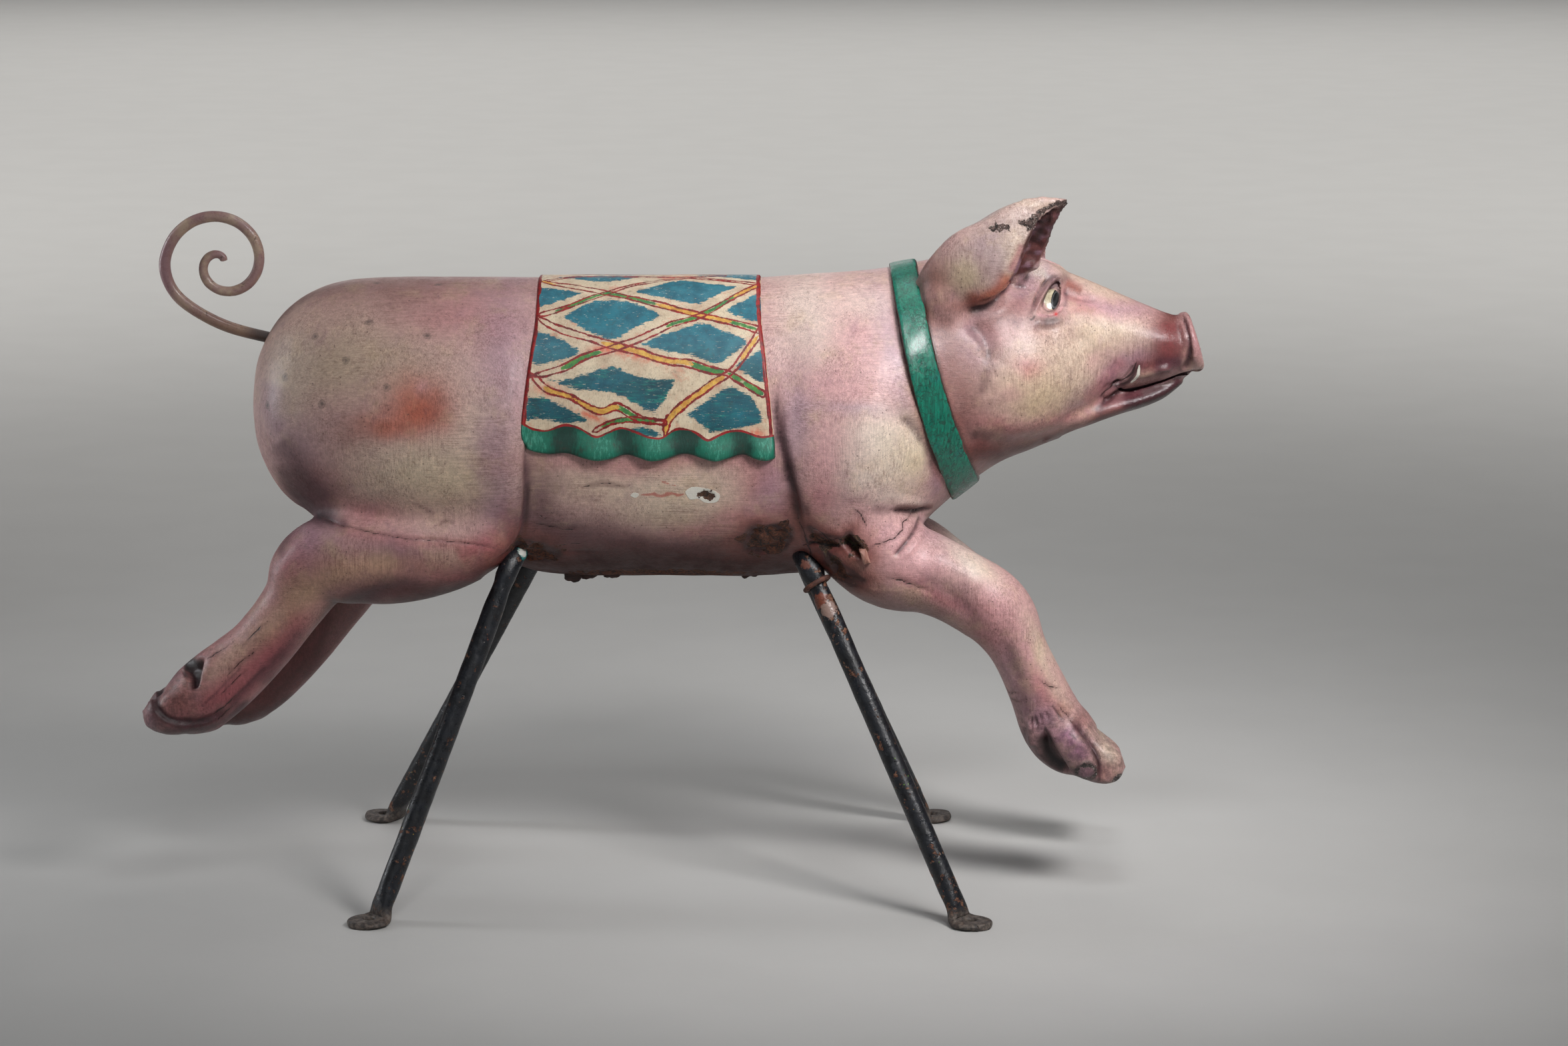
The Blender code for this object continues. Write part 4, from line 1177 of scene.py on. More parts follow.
headStrokes = [
    ("brownPink", 345, 660, 24, 80, 12, 0.6), ("brownPink", 332, 715, 22, 40, 0, 0.75),
    ("mauve", 372, 690, 22, 40, 0, 0.55), ("pink", 405, 700, 35, 20, 0, 0.45),
    ("greyMauve", 415, 675, 35, 18, 0, 0.5), ("brownPink", 362, 600, 20, 40, 20, 0.6),
    ("cream", 440, 650, 52, 42, 0, 0.75), ("yellow", 450, 620, 42, 28, -10, 0.65),
    ("cream", 500, 670, 40, 28, 10, 0.75), ("cream", 535, 692, 42, 18, -8, 0.8),
    ("dull", 560, 675, 30, 16, -10, 0.35), ("cream", 505, 640, 22, 22, 0, 0.6),
    ("pink", 430, 658, 18, 12, -35, 0.65), ("orange", 436, 652, 12, 8, -45, 0.3),
    ("pink", 415, 625, 16, 10, 0, 0.45), ("pink", 515, 652, 14, 10, 30, 0.45),
    ("rose", 400, 585, 35, 12, -12, 0.55), ("mauve", 500, 610, 30, 14, 30, 0.6),
    ("rose", 470, 590, 40, 10, 12, 0.55), ("rose", 530, 615, 14, 14, 40, 0.6),
    ("redBrown", 375, 548, 60, 18, -15, 0.85), ("redBrown", 460, 560, 60, 10, 12, 0.8),
    ("snout", 560, 600, 45, 12, 18, 0.8), ("redBrown", 560, 588, 50, 8, 18, 0.75),
    # the first stroke on the next line is painted highlight on the brow
    ("greyMauve", 440, 766, 34, 13, -15, 0.75), ("mauve", 425, 742, 14, 18, 0, 0.65),
    # the plum stroke that ends the next line and the grey one that starts the line after are painted shade
    # under the eye
    ("rust", 412, 722, 26, 10, 15, 0.45), ("plum", 452, 708, 22, 6, 5, 0.35),
    ("grey", 458, 709, 20, 7, 0, 0.4), ("plum", 478, 757, 10, 7, -30, 0.65),
    ("rust", 490, 742, 16, 6.5, -25, 0.9), ("orange", 497, 738, 10, 5, -25, 0.55),
    ("rose", 505, 722, 22, 6, 10, 0.6), ("pink", 520, 728, 50, 10, -18, 0.6),
    ("greyMauve", 545, 722, 35, 8, -18, 0.5), ("cream", 520, 748, 60, 7, -20, 0.65),
    ("snout", 612, 690, 17, 26, 0, 0.85), ("rust", 607, 702, 12, 12, 0, 0.5),
    ("plum", 602, 664, 28, 20, 8, 0.85), ("redBrown", 608, 690, 16, 20, 0, 0.55),
    ("snout", 585, 650, 22, 10, 12, 0.75), ("mauve", 565, 655, 18, 14, 30, 0.6),
    ("mauve", 535, 635, 16, 10, 35, 0.6), ("pink", 598, 645, 10, 3.5, 10, 0.65),
    ("pink", 642, 680, 7, 26, 17, 0.6), ("mauve", 590, 620, 40, 5.5, 17, 0.65),
    ("grey", 605, 612, 30, 6, 25, 0.5), ("plum", 575, 616.5, 40, 2, 17, 0.6),
]

earStrokes = [
    ("pale", 400, 815, 60, 40, 35, 0.8), ("greyMauve", 375, 812, 34, 14, 35, 0.55),
    ("cream", 352, 775, 26, 18, 30, 0.75), ("yellow", 352, 766, 22, 12, 30, 0.55),
    ("greyMauve", 385, 785, 20, 20, 35, 0.5), ("orange", 372, 742, 30, 7.5, 15, 0.65),
    ("rose", 400, 764, 10, 16, -25, 0.65), ("rose", 412, 790, 5, 22, -18, 0.55),
    ("cream", 405, 800, 8, 22, -18, 0.65), ("rust", 318, 762, 14, 22, -20, 0.6),
    ("brownPink", 325, 735, 18, 18, 0, 0.75), ("rust", 310, 785, 12, 10, 30, 0.5),
    ("cream", 430, 856, 30, 6, 8, 0.6),
]


# edges of the collar; the rust and dark lines along them in the line tables are painted shade where the
# collar meets the neck
collarBack = [(264.5, 762.5), (277, 690), (293.5, 621.4), (315.9, 552), (342.5, 480)]
collarFront = [(297.5, 770), (310, 706), (326.5, 638.6), (348.9, 572), (375.5, 508)]
# tone, half width in mm, strength, path
bodyLines = [
    # the first five lines are painted shade: along the carved steps at the front of the haunch and behind
    # the shoulder, and in the crease where the rump meets the hind leg
    ("plum", 7.5, 0.75, [(-212, 424), (-188, 448), (-178, 500), (-177, 570)]),
    ("dark", 3, 0.75, [(-200, 424), (-184, 446), (-177, 490), (-175, 530)]),
    ("plum", 7, 0.7, [(128, 620), (136, 565), (146, 520), (154, 460)]),
    ("dark", 3, 0.7, [(138, 560), (147, 515), (155, 460)]),
    ("plum", 6, 0.65, [(-486, 420), (-470, 452), (-450, 470), (-420, 474)]),
    ("rose", 9, 0.45, [(-430, 470), (-345, 457), (-260, 448), (-205, 436)]),
    # this line is painted shade under the thigh, the next one painted shade low on the back of the rump
    ("redBrown", 12, 0.75, [(-200, 395), (-290, 378), (-350, 372)]),
    ("dark", 15, 0.6, [(-484, 540), (-468, 505), (-440, 482), (-400, 476)]),
    ("rose", 16, 0.6, [(-440, 370), (-490, 312), (-540, 262), (-590, 232)]),
    ("plum", 6, 0.6, [(-470, 320), (-515, 272), (-550, 236)]),
    ("plum", 2, 0.7, [(-500, 290), (-540, 252)]), ("plum", 1.6, 0.5, [(-530, 290), (-575, 245)]),
    # painted highlight on the hind toe
    ("mauve", 9, 0.6, [(-640, 262), (-610, 284)]),
    ("moss", 8, 0.75, [(170, 436), (178, 418), (190, 404)]),
    # the black line is painted shade in the cleft of the hind toes, the plum one after it painted shade
    # along the hoof's underside
    ("black", 5, 0.7, [(-631, 266), (-636, 251), (-629, 236), (-617, 226), (-588, 222), (-563, 227),
                       (-542, 242)]),
    ("plum", 11, 0.75, [(-610, 212), (-575, 208), (-545, 222), (-520, 250)]),
    ("cream", 10, 0.45, [(-470, 372), (-510, 336), (-550, 300), (-575, 272)]),
    ("pink", 5, 0.6, [(-568, 206), (-556, 213)]),
    ("dark", 6, 0.6, [(150, 432), (176, 446), (206, 448)]),
    # the next two carry the painted shade of the step behind the shoulder down to the stand
    ("redBrown", 13, 0.7, [(140, 520), (148, 490), (156, 462), (164, 436), (170, 416)]),
    ("black", 4.2, 0.75, [(145, 500), (152, 478), (159, 454), (164, 436), (169, 416)]),
    ("redBrown", 8, 0.8, [(168, 464), (180, 462), (190, 451), (207, 456)]),
    ("moss", 7, 0.7, [(184, 438), (190, 418), (206, 402), (230, 398)]),
    ("rose", 14, 0.6, [(-262, 430), (-240, 442), (-205, 462)]),
    # the next two are painted shade where the haunch meets the thigh
    ("plum", 8, 0.7, [(-440, 478), (-420, 473), (-390, 468)]),
    ("black", 3.5, 0.7, [(-438, 475), (-424, 473), (-410, 470)]),
    ("yellow", 14, 0.55, [(-330, 430), (-380, 424), (-430, 404)]),
    # this line is painted shade under the thigh, the next two painted shade low on the back of the rump
    ("plum", 12, 0.45, [(-300, 400), (-350, 392), (-400, 372)]),
    ("plum", 22, 0.65, [(-482, 570), (-465, 550), (-440, 520), (-405, 486)]),
    ("dark", 12, 0.4, [(-465, 535), (-445, 515), (-420, 495)]),
    ("mauve", 16, 0.5, [(-486, 640), (-490, 600), (-470, 580)]),
    # painted shade in the dewclaw notch of the hind hoof
    ("dark", 6.5, 0.95, [(-603, 286), (-590, 289), (-580, 286)]),
    ("plum", 6, 0.7, [(-584, 280), (-586, 268)]),
    ("pink", 4.5, 0.55, [(-612, 297), (-595, 303), (-575, 306)]),
    # the next two are painted shade in the cleft of the hind toes
    ("plum", 6, 0.85, hindToeCut),
    ("dark", 2.4, 0.9, hindToeCut[1:-1]),
    ("plum", 3.5, 0.65, [(-520, 250), (-545, 228), (-562, 210)]),
    # painted shade along the underside of the hind hoof
    ("dark", 6, 0.75, [(-640, 208), (-612, 200), (-570, 196), (-536, 212), (-500, 244)]),
    ("rose", 5, 0.6, [(-600, 208), (-568, 206), (-540, 224)]),
    ("plum", 9, 0.6, [(-452, 345), (-480, 300), (-510, 262)]),
    # the next two are painted shade in the hollow behind the fore toe
    ("dark", 11, 0.95, [(452, 212), (452, 195), (458, 180), (470, 168), (482, 161)]),
    ("black", 7, 0.95, [(454, 208), (454, 195), (460, 180), (470, 170), (480, 163)]),
    ("mauve", 14, 0.55, [(430, 260), (440, 232), (470, 232)]),
    ("purple", 12, 0.5, [(474, 216), (490, 196), (498, 176)]),
    # the next two are painted shade in the cleft of the fore toes, the one after them painted shade along
    # the hoof's underside
    ("plum", 4, 0.75, foreToeCut[:-1]),
    ("dark", 2.4, 0.95, foreToeCut[2:]),
    ("dark", 6, 0.9, [(440, 166), (460, 150), (490, 143), (520, 139), (548, 137)]),
    ("grey", 1.1, 0.9, [(495, 170), (499, 175), (506, 176), (512, 171), (513, 163), (508, 157), (500, 157),
                        (495, 163), (495, 170)]),
    ("plum", 7, 0.55, [(425, 215), (432, 190), (446, 170)]),
    # the next seven are painted shade in the carved cuts and creases of the chest, elbow, foreleg, neck and
    # shoulder
    ("dark", 2.4, 0.7, [(262, 488), (283, 483), (303, 477), (318, 478)]),
    ("plum", 6.5, 0.55, [(236, 492), (262, 490), (290, 484), (318, 480)]),
    ("plum", 3, 0.6, elbowCut),
    ("plum", 9, 0.5, [(285, 402), (320, 392), (352, 370), (376, 335)]),
    ("plum", 5, 0.55, [(280, 608), (300, 582), (314, 550), (320, 515)]),
    ("plum", 8, 0.5, [(402, 330), (418, 290), (430, 250), (430, 225)]),
    ("dark", 5, 0.55, [(160, 440), (166, 470), (158, 500)]),
    # painted shade where the collar meets the body; the plum wrinkles after it are painted shade in the
    # carved wrinkles of the fore hoof
    ("rust", 6, 0.55, collarBack), ("dark", 2.6, 0.85, collarBack),
    *[("plum", 1.2, 0.8, wrinkle) for wrinkle in hoofWrinkles],
]
headLines = [
    # this line is painted shade on the neck between the collar and the cheek, and the plum line two on is
    # painted shade in the groove behind the cheek
    ("brownPink", 17, 0.8, [(316, 722), (330, 693), (330, 660), (344, 630), (366, 590)]),
    ("redBrown", 12, 0.5, [(340, 610), (358, 580), (385, 560)]),
    ("plum", 5.5, 0.5, [(350, 712), (368, 692), (380, 670), (377, 642), (368, 622)]),
    ("brownPink", 12, 0.6, [(362, 705), (395, 712), (425, 712)]),
    ("orange", 8.5, 0.75, [(348, 743), (378, 746), (394, 758), (405, 778)]),
    ("rose", 4.5, 0.65, [(404, 776), (412, 794), (420, 812)]),
    # the next two are painted shadow under the rim of the ear's flap
    ("plum", 3.6, 0.6, [(354, 728), (380, 731), (399, 744), (413, 768), (419, 790)]),
    ("dark", 1.3, 0.8, [(356, 729), (381, 733), (399, 746), (412, 769)]),
    # the next three are painted highlight on the brow ridge
    ("greyMauve", 8.5, 0.65, [(412, 768), (440, 770), (458, 762)]),
    ("pale", 7.5, 0.55, [(424, 768), (442, 768), (456, 760)]),
    ("white", 3.5, 0.45, [(436, 764), (450, 762), (460, 756)]),
    # painted shade in the groove round the upper lid
    ("plum", 3.4, 0.55, [(430, 712), (437, 726), (445, 740), (454, 751), (464, 758), (473, 754)]),
    ("dark", 2, 0.95, [(446.7, 726.2), (451.8, 737.7), (459.2, 749), (468.5, 754), (473, 747)]),
    ("pink", 2, 0.85, lowerLid),
    # this plum line and the grey one two lines on are painted shade under the eye
    ("plum", 6, 0.35, [(436, 708), (448, 707), (462, 706), (476, 711)]),
    ("dark", 1.4, 0.8, [(439, 717), (436, 713), (433, 712)]),
    ("grey", 3, 0.6, [(450, 711), (460, 710), (469, 713)]),
    ("rust", 6.5, 0.9, [(477, 750), (488, 744), (500, 739)]),
    ("plum", 3, 0.5, [(476, 745), (479, 735), (476, 723)]),
    ("red", 2.4, 1.0, [(465.5, 717.2), (465.9, 716.8)]),
    ("snout", 18.5, 0.9, [(607, 704), (605, 680), (604, 656)]),
    ("snout", 9, 0.75, [(560, 646), (585, 652), (612, 654)]),
    ("plum", 6.5, 0.6, [(588, 656), (608, 655), (624, 652)]),
    # painted shade in the groove behind the disc
    ("plum", 2.6, 0.75, [(627, 708), (630, 690), (632, 665), (628, 642)]),
    ("snout", 10.5, 0.9, [(548, 600), (580, 609), (610, 620), (626, 628)]),
    ("plum", 8.5, 0.75, [(545, 594), (580, 604), (610, 617), (624, 626)]),
    ("redBrown", 8.5, 0.8, [(500, 578), (545, 588), (585, 597), (612, 610)]),
    ("mauve", 8, 0.45, [(556, 666), (536, 648), (520, 626)]),
    # the next two are painted shade on the jaw under the mouth, and the grey line after them a painted
    # highlight on the lip's edge
    ("plum", 14, 0.85, [(545, 598), (575, 606), (605, 617), (630, 630)]),
    ("dark", 8, 0.7, [(552, 594), (580, 601), (608, 611), (630, 624)]),
    ("grey", 3, 0.45, [(570, 612.5), (595, 620), (618, 629)]),
    ("plum", 11, 0.7, [(585, 648), (606, 650), (624, 652)]),
    ("dark", 5, 0.6, [(618, 640), (630, 650), (634, 662)]),
    # the next five are painted shade in the corner of the mouth and along its folds
    ("dark", 2.2, 0.85, [(561.7, 636.4), (554.8, 627.6), (542.6, 625.1), (530.3, 628.6), (522, 620)]),
    ("dark", 2.4, 0.6, [(549, 622), (538, 612), (525, 602), (512, 594)]),
    ("plum", 4.2, 0.75, [(569, 656), (563, 640), (555, 629), (543, 625), (530, 628)]),
    ("dark", 1.7, 0.95, [(568.4, 654.5), (561.7, 639), (554.8, 629), (542.6, 625.5), (532, 627)]),
    ("plum", 6, 0.65, [(556, 622), (542, 613), (528, 602), (514, 590)]),
    ("rose", 10, 0.45, [(552, 662), (535, 642), (515, 622), (500, 604)]),
    ("redBrown", 14, 0.65, [(350, 560), (390, 548), (440, 550), (500, 566)]),
    # painted shade where the collar meets the head
    ("rust", 6, 0.5, collarFront), ("dark", 2.4, 0.8, collarFront),
]


def paintTones(shape, strokes, base):
    # airbrushed spots of colour with wavering edges, laid one over another
    co = shape["co"].copy()
    far = co[:, 1] > 0
    for away, reach in ((carving["farHind"], ease(-co[:, 0], 0.4, 0.47) * ease(0.42 - co[:, 2], 0, 0.05)),
                        (carving["farFore"], ease(co[:, 0], 0.3, 0.37) * ease(0.43 - co[:, 2], 0, 0.05))):
        co[far, 0] -= away[0] * reach[far]
        co[far, 2] -= away[1] * reach[far]
    drift = np.stack([field(co, 16, 31), np.zeros(len(co)), field(co, 16, 32)], 1) * 0.01
    drift += np.stack([field(co, 60, 33), np.zeros(len(co)), field(co, 60, 34)], 1) * 0.004
    place = {"co": co + drift, "no": shape["no"]}
    colour = np.tile(linear(*palette[base]), (len(co), 1))
    for tone, x, z, long, high, tilt, strength in strokes:
        mask = (spot(place, (x, z), (long, high), tilt) ** 0.8 * strength)[:, None]
        colour = colour * (1 - mask) + linear(*palette[tone]) * mask
    return colour, {"co": co + drift * 0.15, "no": shape["no"]}


def paintLines(place, colour, lines):
    for tone, width, strength, points in lines:
        signed, share = pathDistance(place, points)
        ends = ease(share, -0.01, 0.15) * ease(1 - share, -0.01, 0.15) if len(points) > 2 else 1
        colour = coat(colour, tone, np.exp(-(signed / (width / 1000)) ** 2) * ends * strength)
    return colour


def cavity(made):
    # how deep each point lies below its neighbours, in metres: positive in hollows
    shape = readShape(made)
    count = len(made.data.edges)
    ends = np.zeros(count * 2, int)
    made.data.edges.foreach_get("vertices", ends)
    a, b = ends.reshape(-1, 2).T
    near = np.zeros(len(shape["co"]))
    np.add.at(near, a, 1)
    np.add.at(near, b, 1)

    def average(values):
        total = np.zeros_like(values)
        np.add.at(total, a, values[b])
        np.add.at(total, b, values[a])
        return total / near.reshape(-1, *[1] * (values.ndim - 1))

    soft = shape["co"]
    for _ in range(6):
        soft = 0.5 * soft + 0.5 * average(soft)
    hollow = ((soft - shape["co"]) * shape["no"]).sum(1)
    for _ in range(2):
        hollow = 0.5 * hollow + 0.5 * average(hollow)
    return hollow


def coat(colour, tone, mask):
    mask = np.clip(mask, 0, 1)[:, None]
    return colour * (1 - mask) + linear(*palette[tone]) * mask


# lines where the paint and the wood have opened: points, half width
bodyCracks = [
    ([(-490, 352), (-510, 336), (-528, 316)], 0.5), ([(-505, 318), (-527, 300), (-545, 282)], 0.6),
    ([(-520, 290), (-541, 272), (-556, 256)], 0.5), ([(-530, 262), (-552, 242), (-566, 232)], 0.7),
    ([(-536, 246), (-552, 232), (-563, 220)], 0.6), ([(-545, 318), (-560, 306), (-570, 300)], 0.5),
    ([(398, 262), (410, 256), (424, 258)], 0.5), ([(404, 250), (418, 246), (430, 251)], 0.5),
    ([(470, 243), (478, 233), (486, 222)], 0.8), ([(445, 276), (458, 268), (470, 264)], 0.5),
    ([(149, 488), (155, 468), (161, 450), (166, 430), (170, 416)], 0.9),
    ([(168.3, 448.1), (180.2, 443.5), (195.1, 443.5), (206.9, 449)], 1.0),
    ([(168.3, 464), (177.2, 463.2), (189.1, 451.1), (204, 456.5)], 0.8),
    ([(90, 455), (104, 462), (122, 458), (140, 462)], 0.7), ([(112, 446), (120, 436), (134, 440)], 0.6),
    ([(-432, 474), (-389, 467), (-340, 458), (-295, 454), (-245, 448), (-206, 436)], 0.45),
    ([(-172, 470), (-150, 464), (-125, 461), (-105, 465)], 0.8),
    ([(-170, 484), (-158, 476), (-146, 482)], 0.7), ([(-150, 437), (-120, 441), (-80, 436)], 0.6),
    ([(-112, 515), (-98, 519), (-84, 522), (-66, 518), (-52, 519)], 0.8),
    ([(218, 493), (226, 486), (230, 477), (235, 470)], 0.9),
    ([(232, 438), (247, 449), (263, 453), (277, 463), (280, 473), (303, 481)], 0.7),
    ([(158, 441), (170, 446), (184, 444), (206, 444)], 1.6),
    ([(262, 489), (283, 484), (303, 478)], 0.9), ([(258, 407), (278, 402), (300, 393)], 0.8),
    ([(-320, 502), (-300, 490), (-287, 484)], 0.5), ([(-290, 470), (-272, 476), (-262, 470)], 0.5),
    ([(300, 592), (309, 577), (316, 560), (322, 545)], 0.9),
]


def crackField(shape, cracks):
    # distance from the nearest crack, in half widths of that crack
    best = np.full(len(shape["co"]), 60.0)
    drift = np.stack([field(shape["co"], 120, 41), field(shape["co"], 120, 42) * 0,
                      field(shape["co"], 120, 43)], 1) * 0.0022
    place = {"co": shape["co"] + drift, "no": shape["no"]}
    on = flank(shape, -1) > 0.3
    for points, half in cracks:
        signed, share = pathDistance(place, points)
        taper = 0.35 + 0.65 * np.sin(np.pi * np.clip(share, 0.02, 0.98))
        best = np.where(on, np.minimum(best, np.abs(signed) * 1000 / (half * taper)), best)
    return np.clip(best, 0, 60)


redScrawl = [([(-40, 506), (-28, 508.5), (-16, 506.5), (-4, 508.5), (6, 506.5), (13, 508)], 2.0),
             ([(-20, 528), (-8, 522.5), (6, 517)], 1.1)]
hindNotch = [(-604, 284), (-601, 291), (-577, 296), (-579, 282), (-581, 268), (-589, 265), (-591, 276),
             (-600, 278)]


def paintBody(made):
    shape = readShape(made)
    co, no = shape["co"], shape["no"]
    x, z = co[:, 0], co[:, 2]
    tone, place = paintTones(shape, bodyStrokes, "flesh")
    tone = paintLines(place, tone, bodyLines)
    for outline in rottenWood:
        away = areaDistance(shape, outline) + 0.006 * field(co, 60, 57)
        near = flank(shape, -1)
        tone = coat(tone, "rust", 0.6 * ease(away, -0.034, -0.004) * near)
        tone = coat(tone, "redBrown", ease(away, -0.016, 0.001) * near * (0.75 + 0.5 * field(co, 70, 52)))
        tone = coat(tone, "dark", 0.7 * ease(away, -0.0045, -0.0005) * near)
    # painted shade: redder on the inner faces low between the legs, and darker on the faces that look down
    inner = ease(-no[:, 1] * np.sign(co[:, 1]), 0.1, 0.7) * ease(0.44 - z, 0, 0.04)
    tone = coat(tone, "redBrown", 0.8 * inner)
    tone = coat(tone, "dark", 0.6 * ease(-no[:, 2], 0.45, 0.95) * ease(0.5 - z, 0, 0.05))
    nail = np.hypot((x - 0.5042) / 0.0112, (z - 0.161) / 0.01)
    tone = coat(tone, "mauve", 0.6 * (1 - ease(nail, 0.7, 1.0)) * flank(shape, -1))
    tone = coat(tone, "black", 0.7 * (1 - ease(np.abs(nail - 1.15), 0.05, 0.3)) * flank(shape, -1))
    # painted shade: black filling the dewclaw notch of the hind hoof
    tone = coat(tone, "black", 0.9 * ease(areaDistance(shape, hindNotch), -0.002, 0.002) * flank(shape, -1))
    # redder and darker low on the belly and on the hind legs: partly the old paint, partly painted shade
    # under the body
    between = ease(0.21 - np.abs(x + 0.02), 0, 0.04)
    for strength, top, seed, soft in ((0.85, 0.418, 59, 0.025), (0.7, 0.44, 58, 0.035)):
        level = top - z + 0.012 * field(co, 40, seed)
        tone = coat(tone, "darkPaintAndShade", strength * ease(level, 0, soft) * between)
    low = ease(0.47 - z, 0, 0.05) * ease(0.24 - x, 0, 0.05)
    low = np.maximum(low, ease(0.4 - z, 0, 0.06) * np.where(x > 0.2, 0.15, 0.7))
    tone = tone * (1 - low[:, None] * np.array([0.18, 0.36, 0.34]))
    hollow = cavity(made)
    # painted shade: plum laid into the hollows and creases of the carving
    tone = coat(tone, "plum", ease(hollow, 0.0001, 0.0011) * 0.8)
    # what shows where the paint is gone, and how far it is gone: above zero it shows
    under = np.tile(linear(*palette["rot"]), (len(co), 1))
    under = coat(under, "wood", spot(shape, (40, 507), (12, 10)) * 2)
    under = coat(under, "moss", spot(shape, (215, 447), (14, 12)) + 0.8 * spot(shape, (182, 430), (14, 12)))
    under = coat(under, "rust", spot(shape, (212, 402), (20, 8)) * 0.7)
    under = coat(under, "grey", 0.8 * ease(x, 0.4, 0.42))
    wear = np.full(len(co), -0.03)
    near = flank(shape, -1) > 0.2
    chip = [(29, 508), (38, 513), (48, 510), (52, 504), (43, 501), (33, 504)]
    wear = np.where(near, areaDistance(shape, chip), wear)
    torn = 0.017 * field(co, 62, 54) + 0.008 * field(co, 150, 55) - 0.001
    for outline in rottenWood:
        wear = np.where(near, np.maximum(wear, areaDistance(shape, outline) + torn), wear)
    for at, size in (((545, 150), (9, 9)), ((-20, 392), (160, 10))):
        wear = np.where(near, np.maximum(wear, (spot(shape, at, size) - 0.62) * 0.012), wear)
    # the worn ring round the nail of the near fore toe
    wear = np.where(near, np.maximum(wear, 0.0016 - np.abs(nail - 1) * 0.0105), wear)
    primer = np.maximum(spot(shape, (36, 508), (18, 12), side=-1),
                        spot(shape, (-47, 506), (7, 7), side=-1))
    whites = np.maximum(areaDistance(shape, [(14, 511), (22, 517), (34, 516.5), (48, 513), (56.5, 507),
                                             (53, 498), (40, 496.5), (30, 502), (20, 501)]),
                        areaDistance(shape, [(-53, 506), (-47, 510), (-41, 507), (-46, 503)]))
    saveFields(made, tint=np.column_stack([tone, np.ones(len(co))]),
               under=np.column_stack([under, np.ones(len(co))]), wear=wear * 1000,
               whites=np.where(primer > 0.05, whites, -0.03) * 1000,
               crack=crackField(shape, bodyCracks), scrawl=crackField(shape, redScrawl),
               glint=ease(x, 0.4, 0.42))
    # no shine is left under the belly and low on the rump
    dull = ease(0.45 - z, 0, 0.045) * between
    dull = np.maximum(dull, ease(-0.39 - x, 0, 0.05) * ease(0.58 - z, 0, 0.07) * ease(z, 0.43, 0.46))
    saveFields(made, gloss=0.2 * ease(0.34 - z, 0, 0.06) - dull)
    # dirt and painted shade: darkest in the hollows, low under the belly and on the feet
    grime = ease(hollow, 0.00005, 0.0009) + 0.6 * ease(0.42 - z, 0, 0.06) * (np.abs(x) < 0.2)
    grime += 0.75 * ease(0.27 - z, 0, 0.06) * (x > 0.3) + 0.75 * ease(-x, 0.53, 0.6)
    saveFields(made, grime=np.clip(grime, 0, 1))


headCracks = [
    ([(549, 632), (540, 629), (534, 622), (524, 612)], 0.8),
    ([(566, 655), (562, 644), (556, 636), (549, 632)], 1.0),
    ([(384, 668), (388, 656), (394, 647)], 0.5), ([(553, 621.5), (541, 615), (531, 606)], 0.7),
]


earCup = [(404, 762), (416, 790), (428, 820), (446, 842), (482, 859), (480, 842), (465, 824), (454, 804),
          (444, 784), (428, 768)]


def paintHead(made):
    shape = readShape(made)
    co, no = shape["co"], shape["no"]
    x, z = co[:, 0], co[:, 2]
    tone, place = paintTones(shape, headStrokes, "flesh")
    isEar = ease(z - 0.765 + 0.9 * np.maximum(0, 0.385 - x) - 0.45 * np.maximum(0, x - 0.42), -0.032, -0.022)
    isEar *= (np.abs(co[:, 1]) > 0.072) | (z > 0.8)
    ear, _ = paintTones(shape, earStrokes, "flesh")
    tone = paintLines(place, tone * (1 - isEar[:, None]) + ear * isEar[:, None], headLines)
    # the cup of each ear looks forward and is rough and dark
    cup = np.zeros(len(co))
    for side, away in ((-1, (0, 0)), (1, carving["farEar"])):
        inCup = ease(areaDistance(shape, earCup, away), -0.002, 0.0015)
        cup = np.maximum(cup, inCup * (co[:, 1] * side > 0.03))
    tone = coat(tone, "snout", 0.95 * cup)
    tone = coat(tone, "redBrown", cup * (0.6 + 0.8 * field(co, 70, 53)))
    tone = coat(tone, "mauve", cup * 0.9 * ease(field(co, 110, 51), 0.05, 0.4))
    tone = coat(tone, "dark", cup * (0.55 + 0.9 * field(co, 120, 56)) * ease(z, 0.78, 0.83))
    hollow = cavity(made)
    # painted shade: plum laid into the hollows of the head
    tone = coat(tone, "plum", ease(hollow, 0.00008, 0.0007) * 0.8)
    # the head and the ears are painted darker than the shoulder, as painted shade
    tone = tone * np.array([0.84, 0.8, 0.8]) * (1 - 0.1 * isEar[:, None])
    under = np.tile(linear(*palette["rot"]), (len(co), 1))
    under = coat(under, "grey", 0.6 * ease(z, 0.8, 0.81))
    wear = np.full(len(co), -0.03)
    near = flank(shape, -1) > 0.2
    for outline in ([(411, 838), (424, 838), (436, 846), (452, 855), (466, 860), (480, 860), (476, 850),
                     (462, 853), (448, 846), (436, 833), (428, 824), (424, 830)],
                    [(380, 829), (388, 834), (402, 832), (403, 827), (390, 825)]):
        wear = np.where(near, np.maximum(wear, areaDistance(shape, outline)), wear)
    whites = areaDistance(shape, [(569.5, 654.1), (570.7, 644.2), (569.1, 635), (561.9, 626.8), (559, 628),
                                  (565, 636.4), (567.2, 647)]) - 0.0003
    saveFields(made, tint=np.column_stack([tone, np.ones(len(co))]),
               under=np.column_stack([under, np.ones(len(co))]), wear=wear * 1000,
               whites=np.where(near, whites, -0.03) * 1000, crack=crackField(shape, headCracks),
               scrawl=np.full(len(co), 30.0), glint=np.ones(len(co)),
               gloss=ease(x + 0.4 * (0.64 - z), 0.545, 0.59),
               # dirt and painted shade: shade in the hollows, dirt in the ear cups
               grime=np.clip(ease(hollow, 0.00004, 0.0006) + 0.5 * cup, 0, 1))


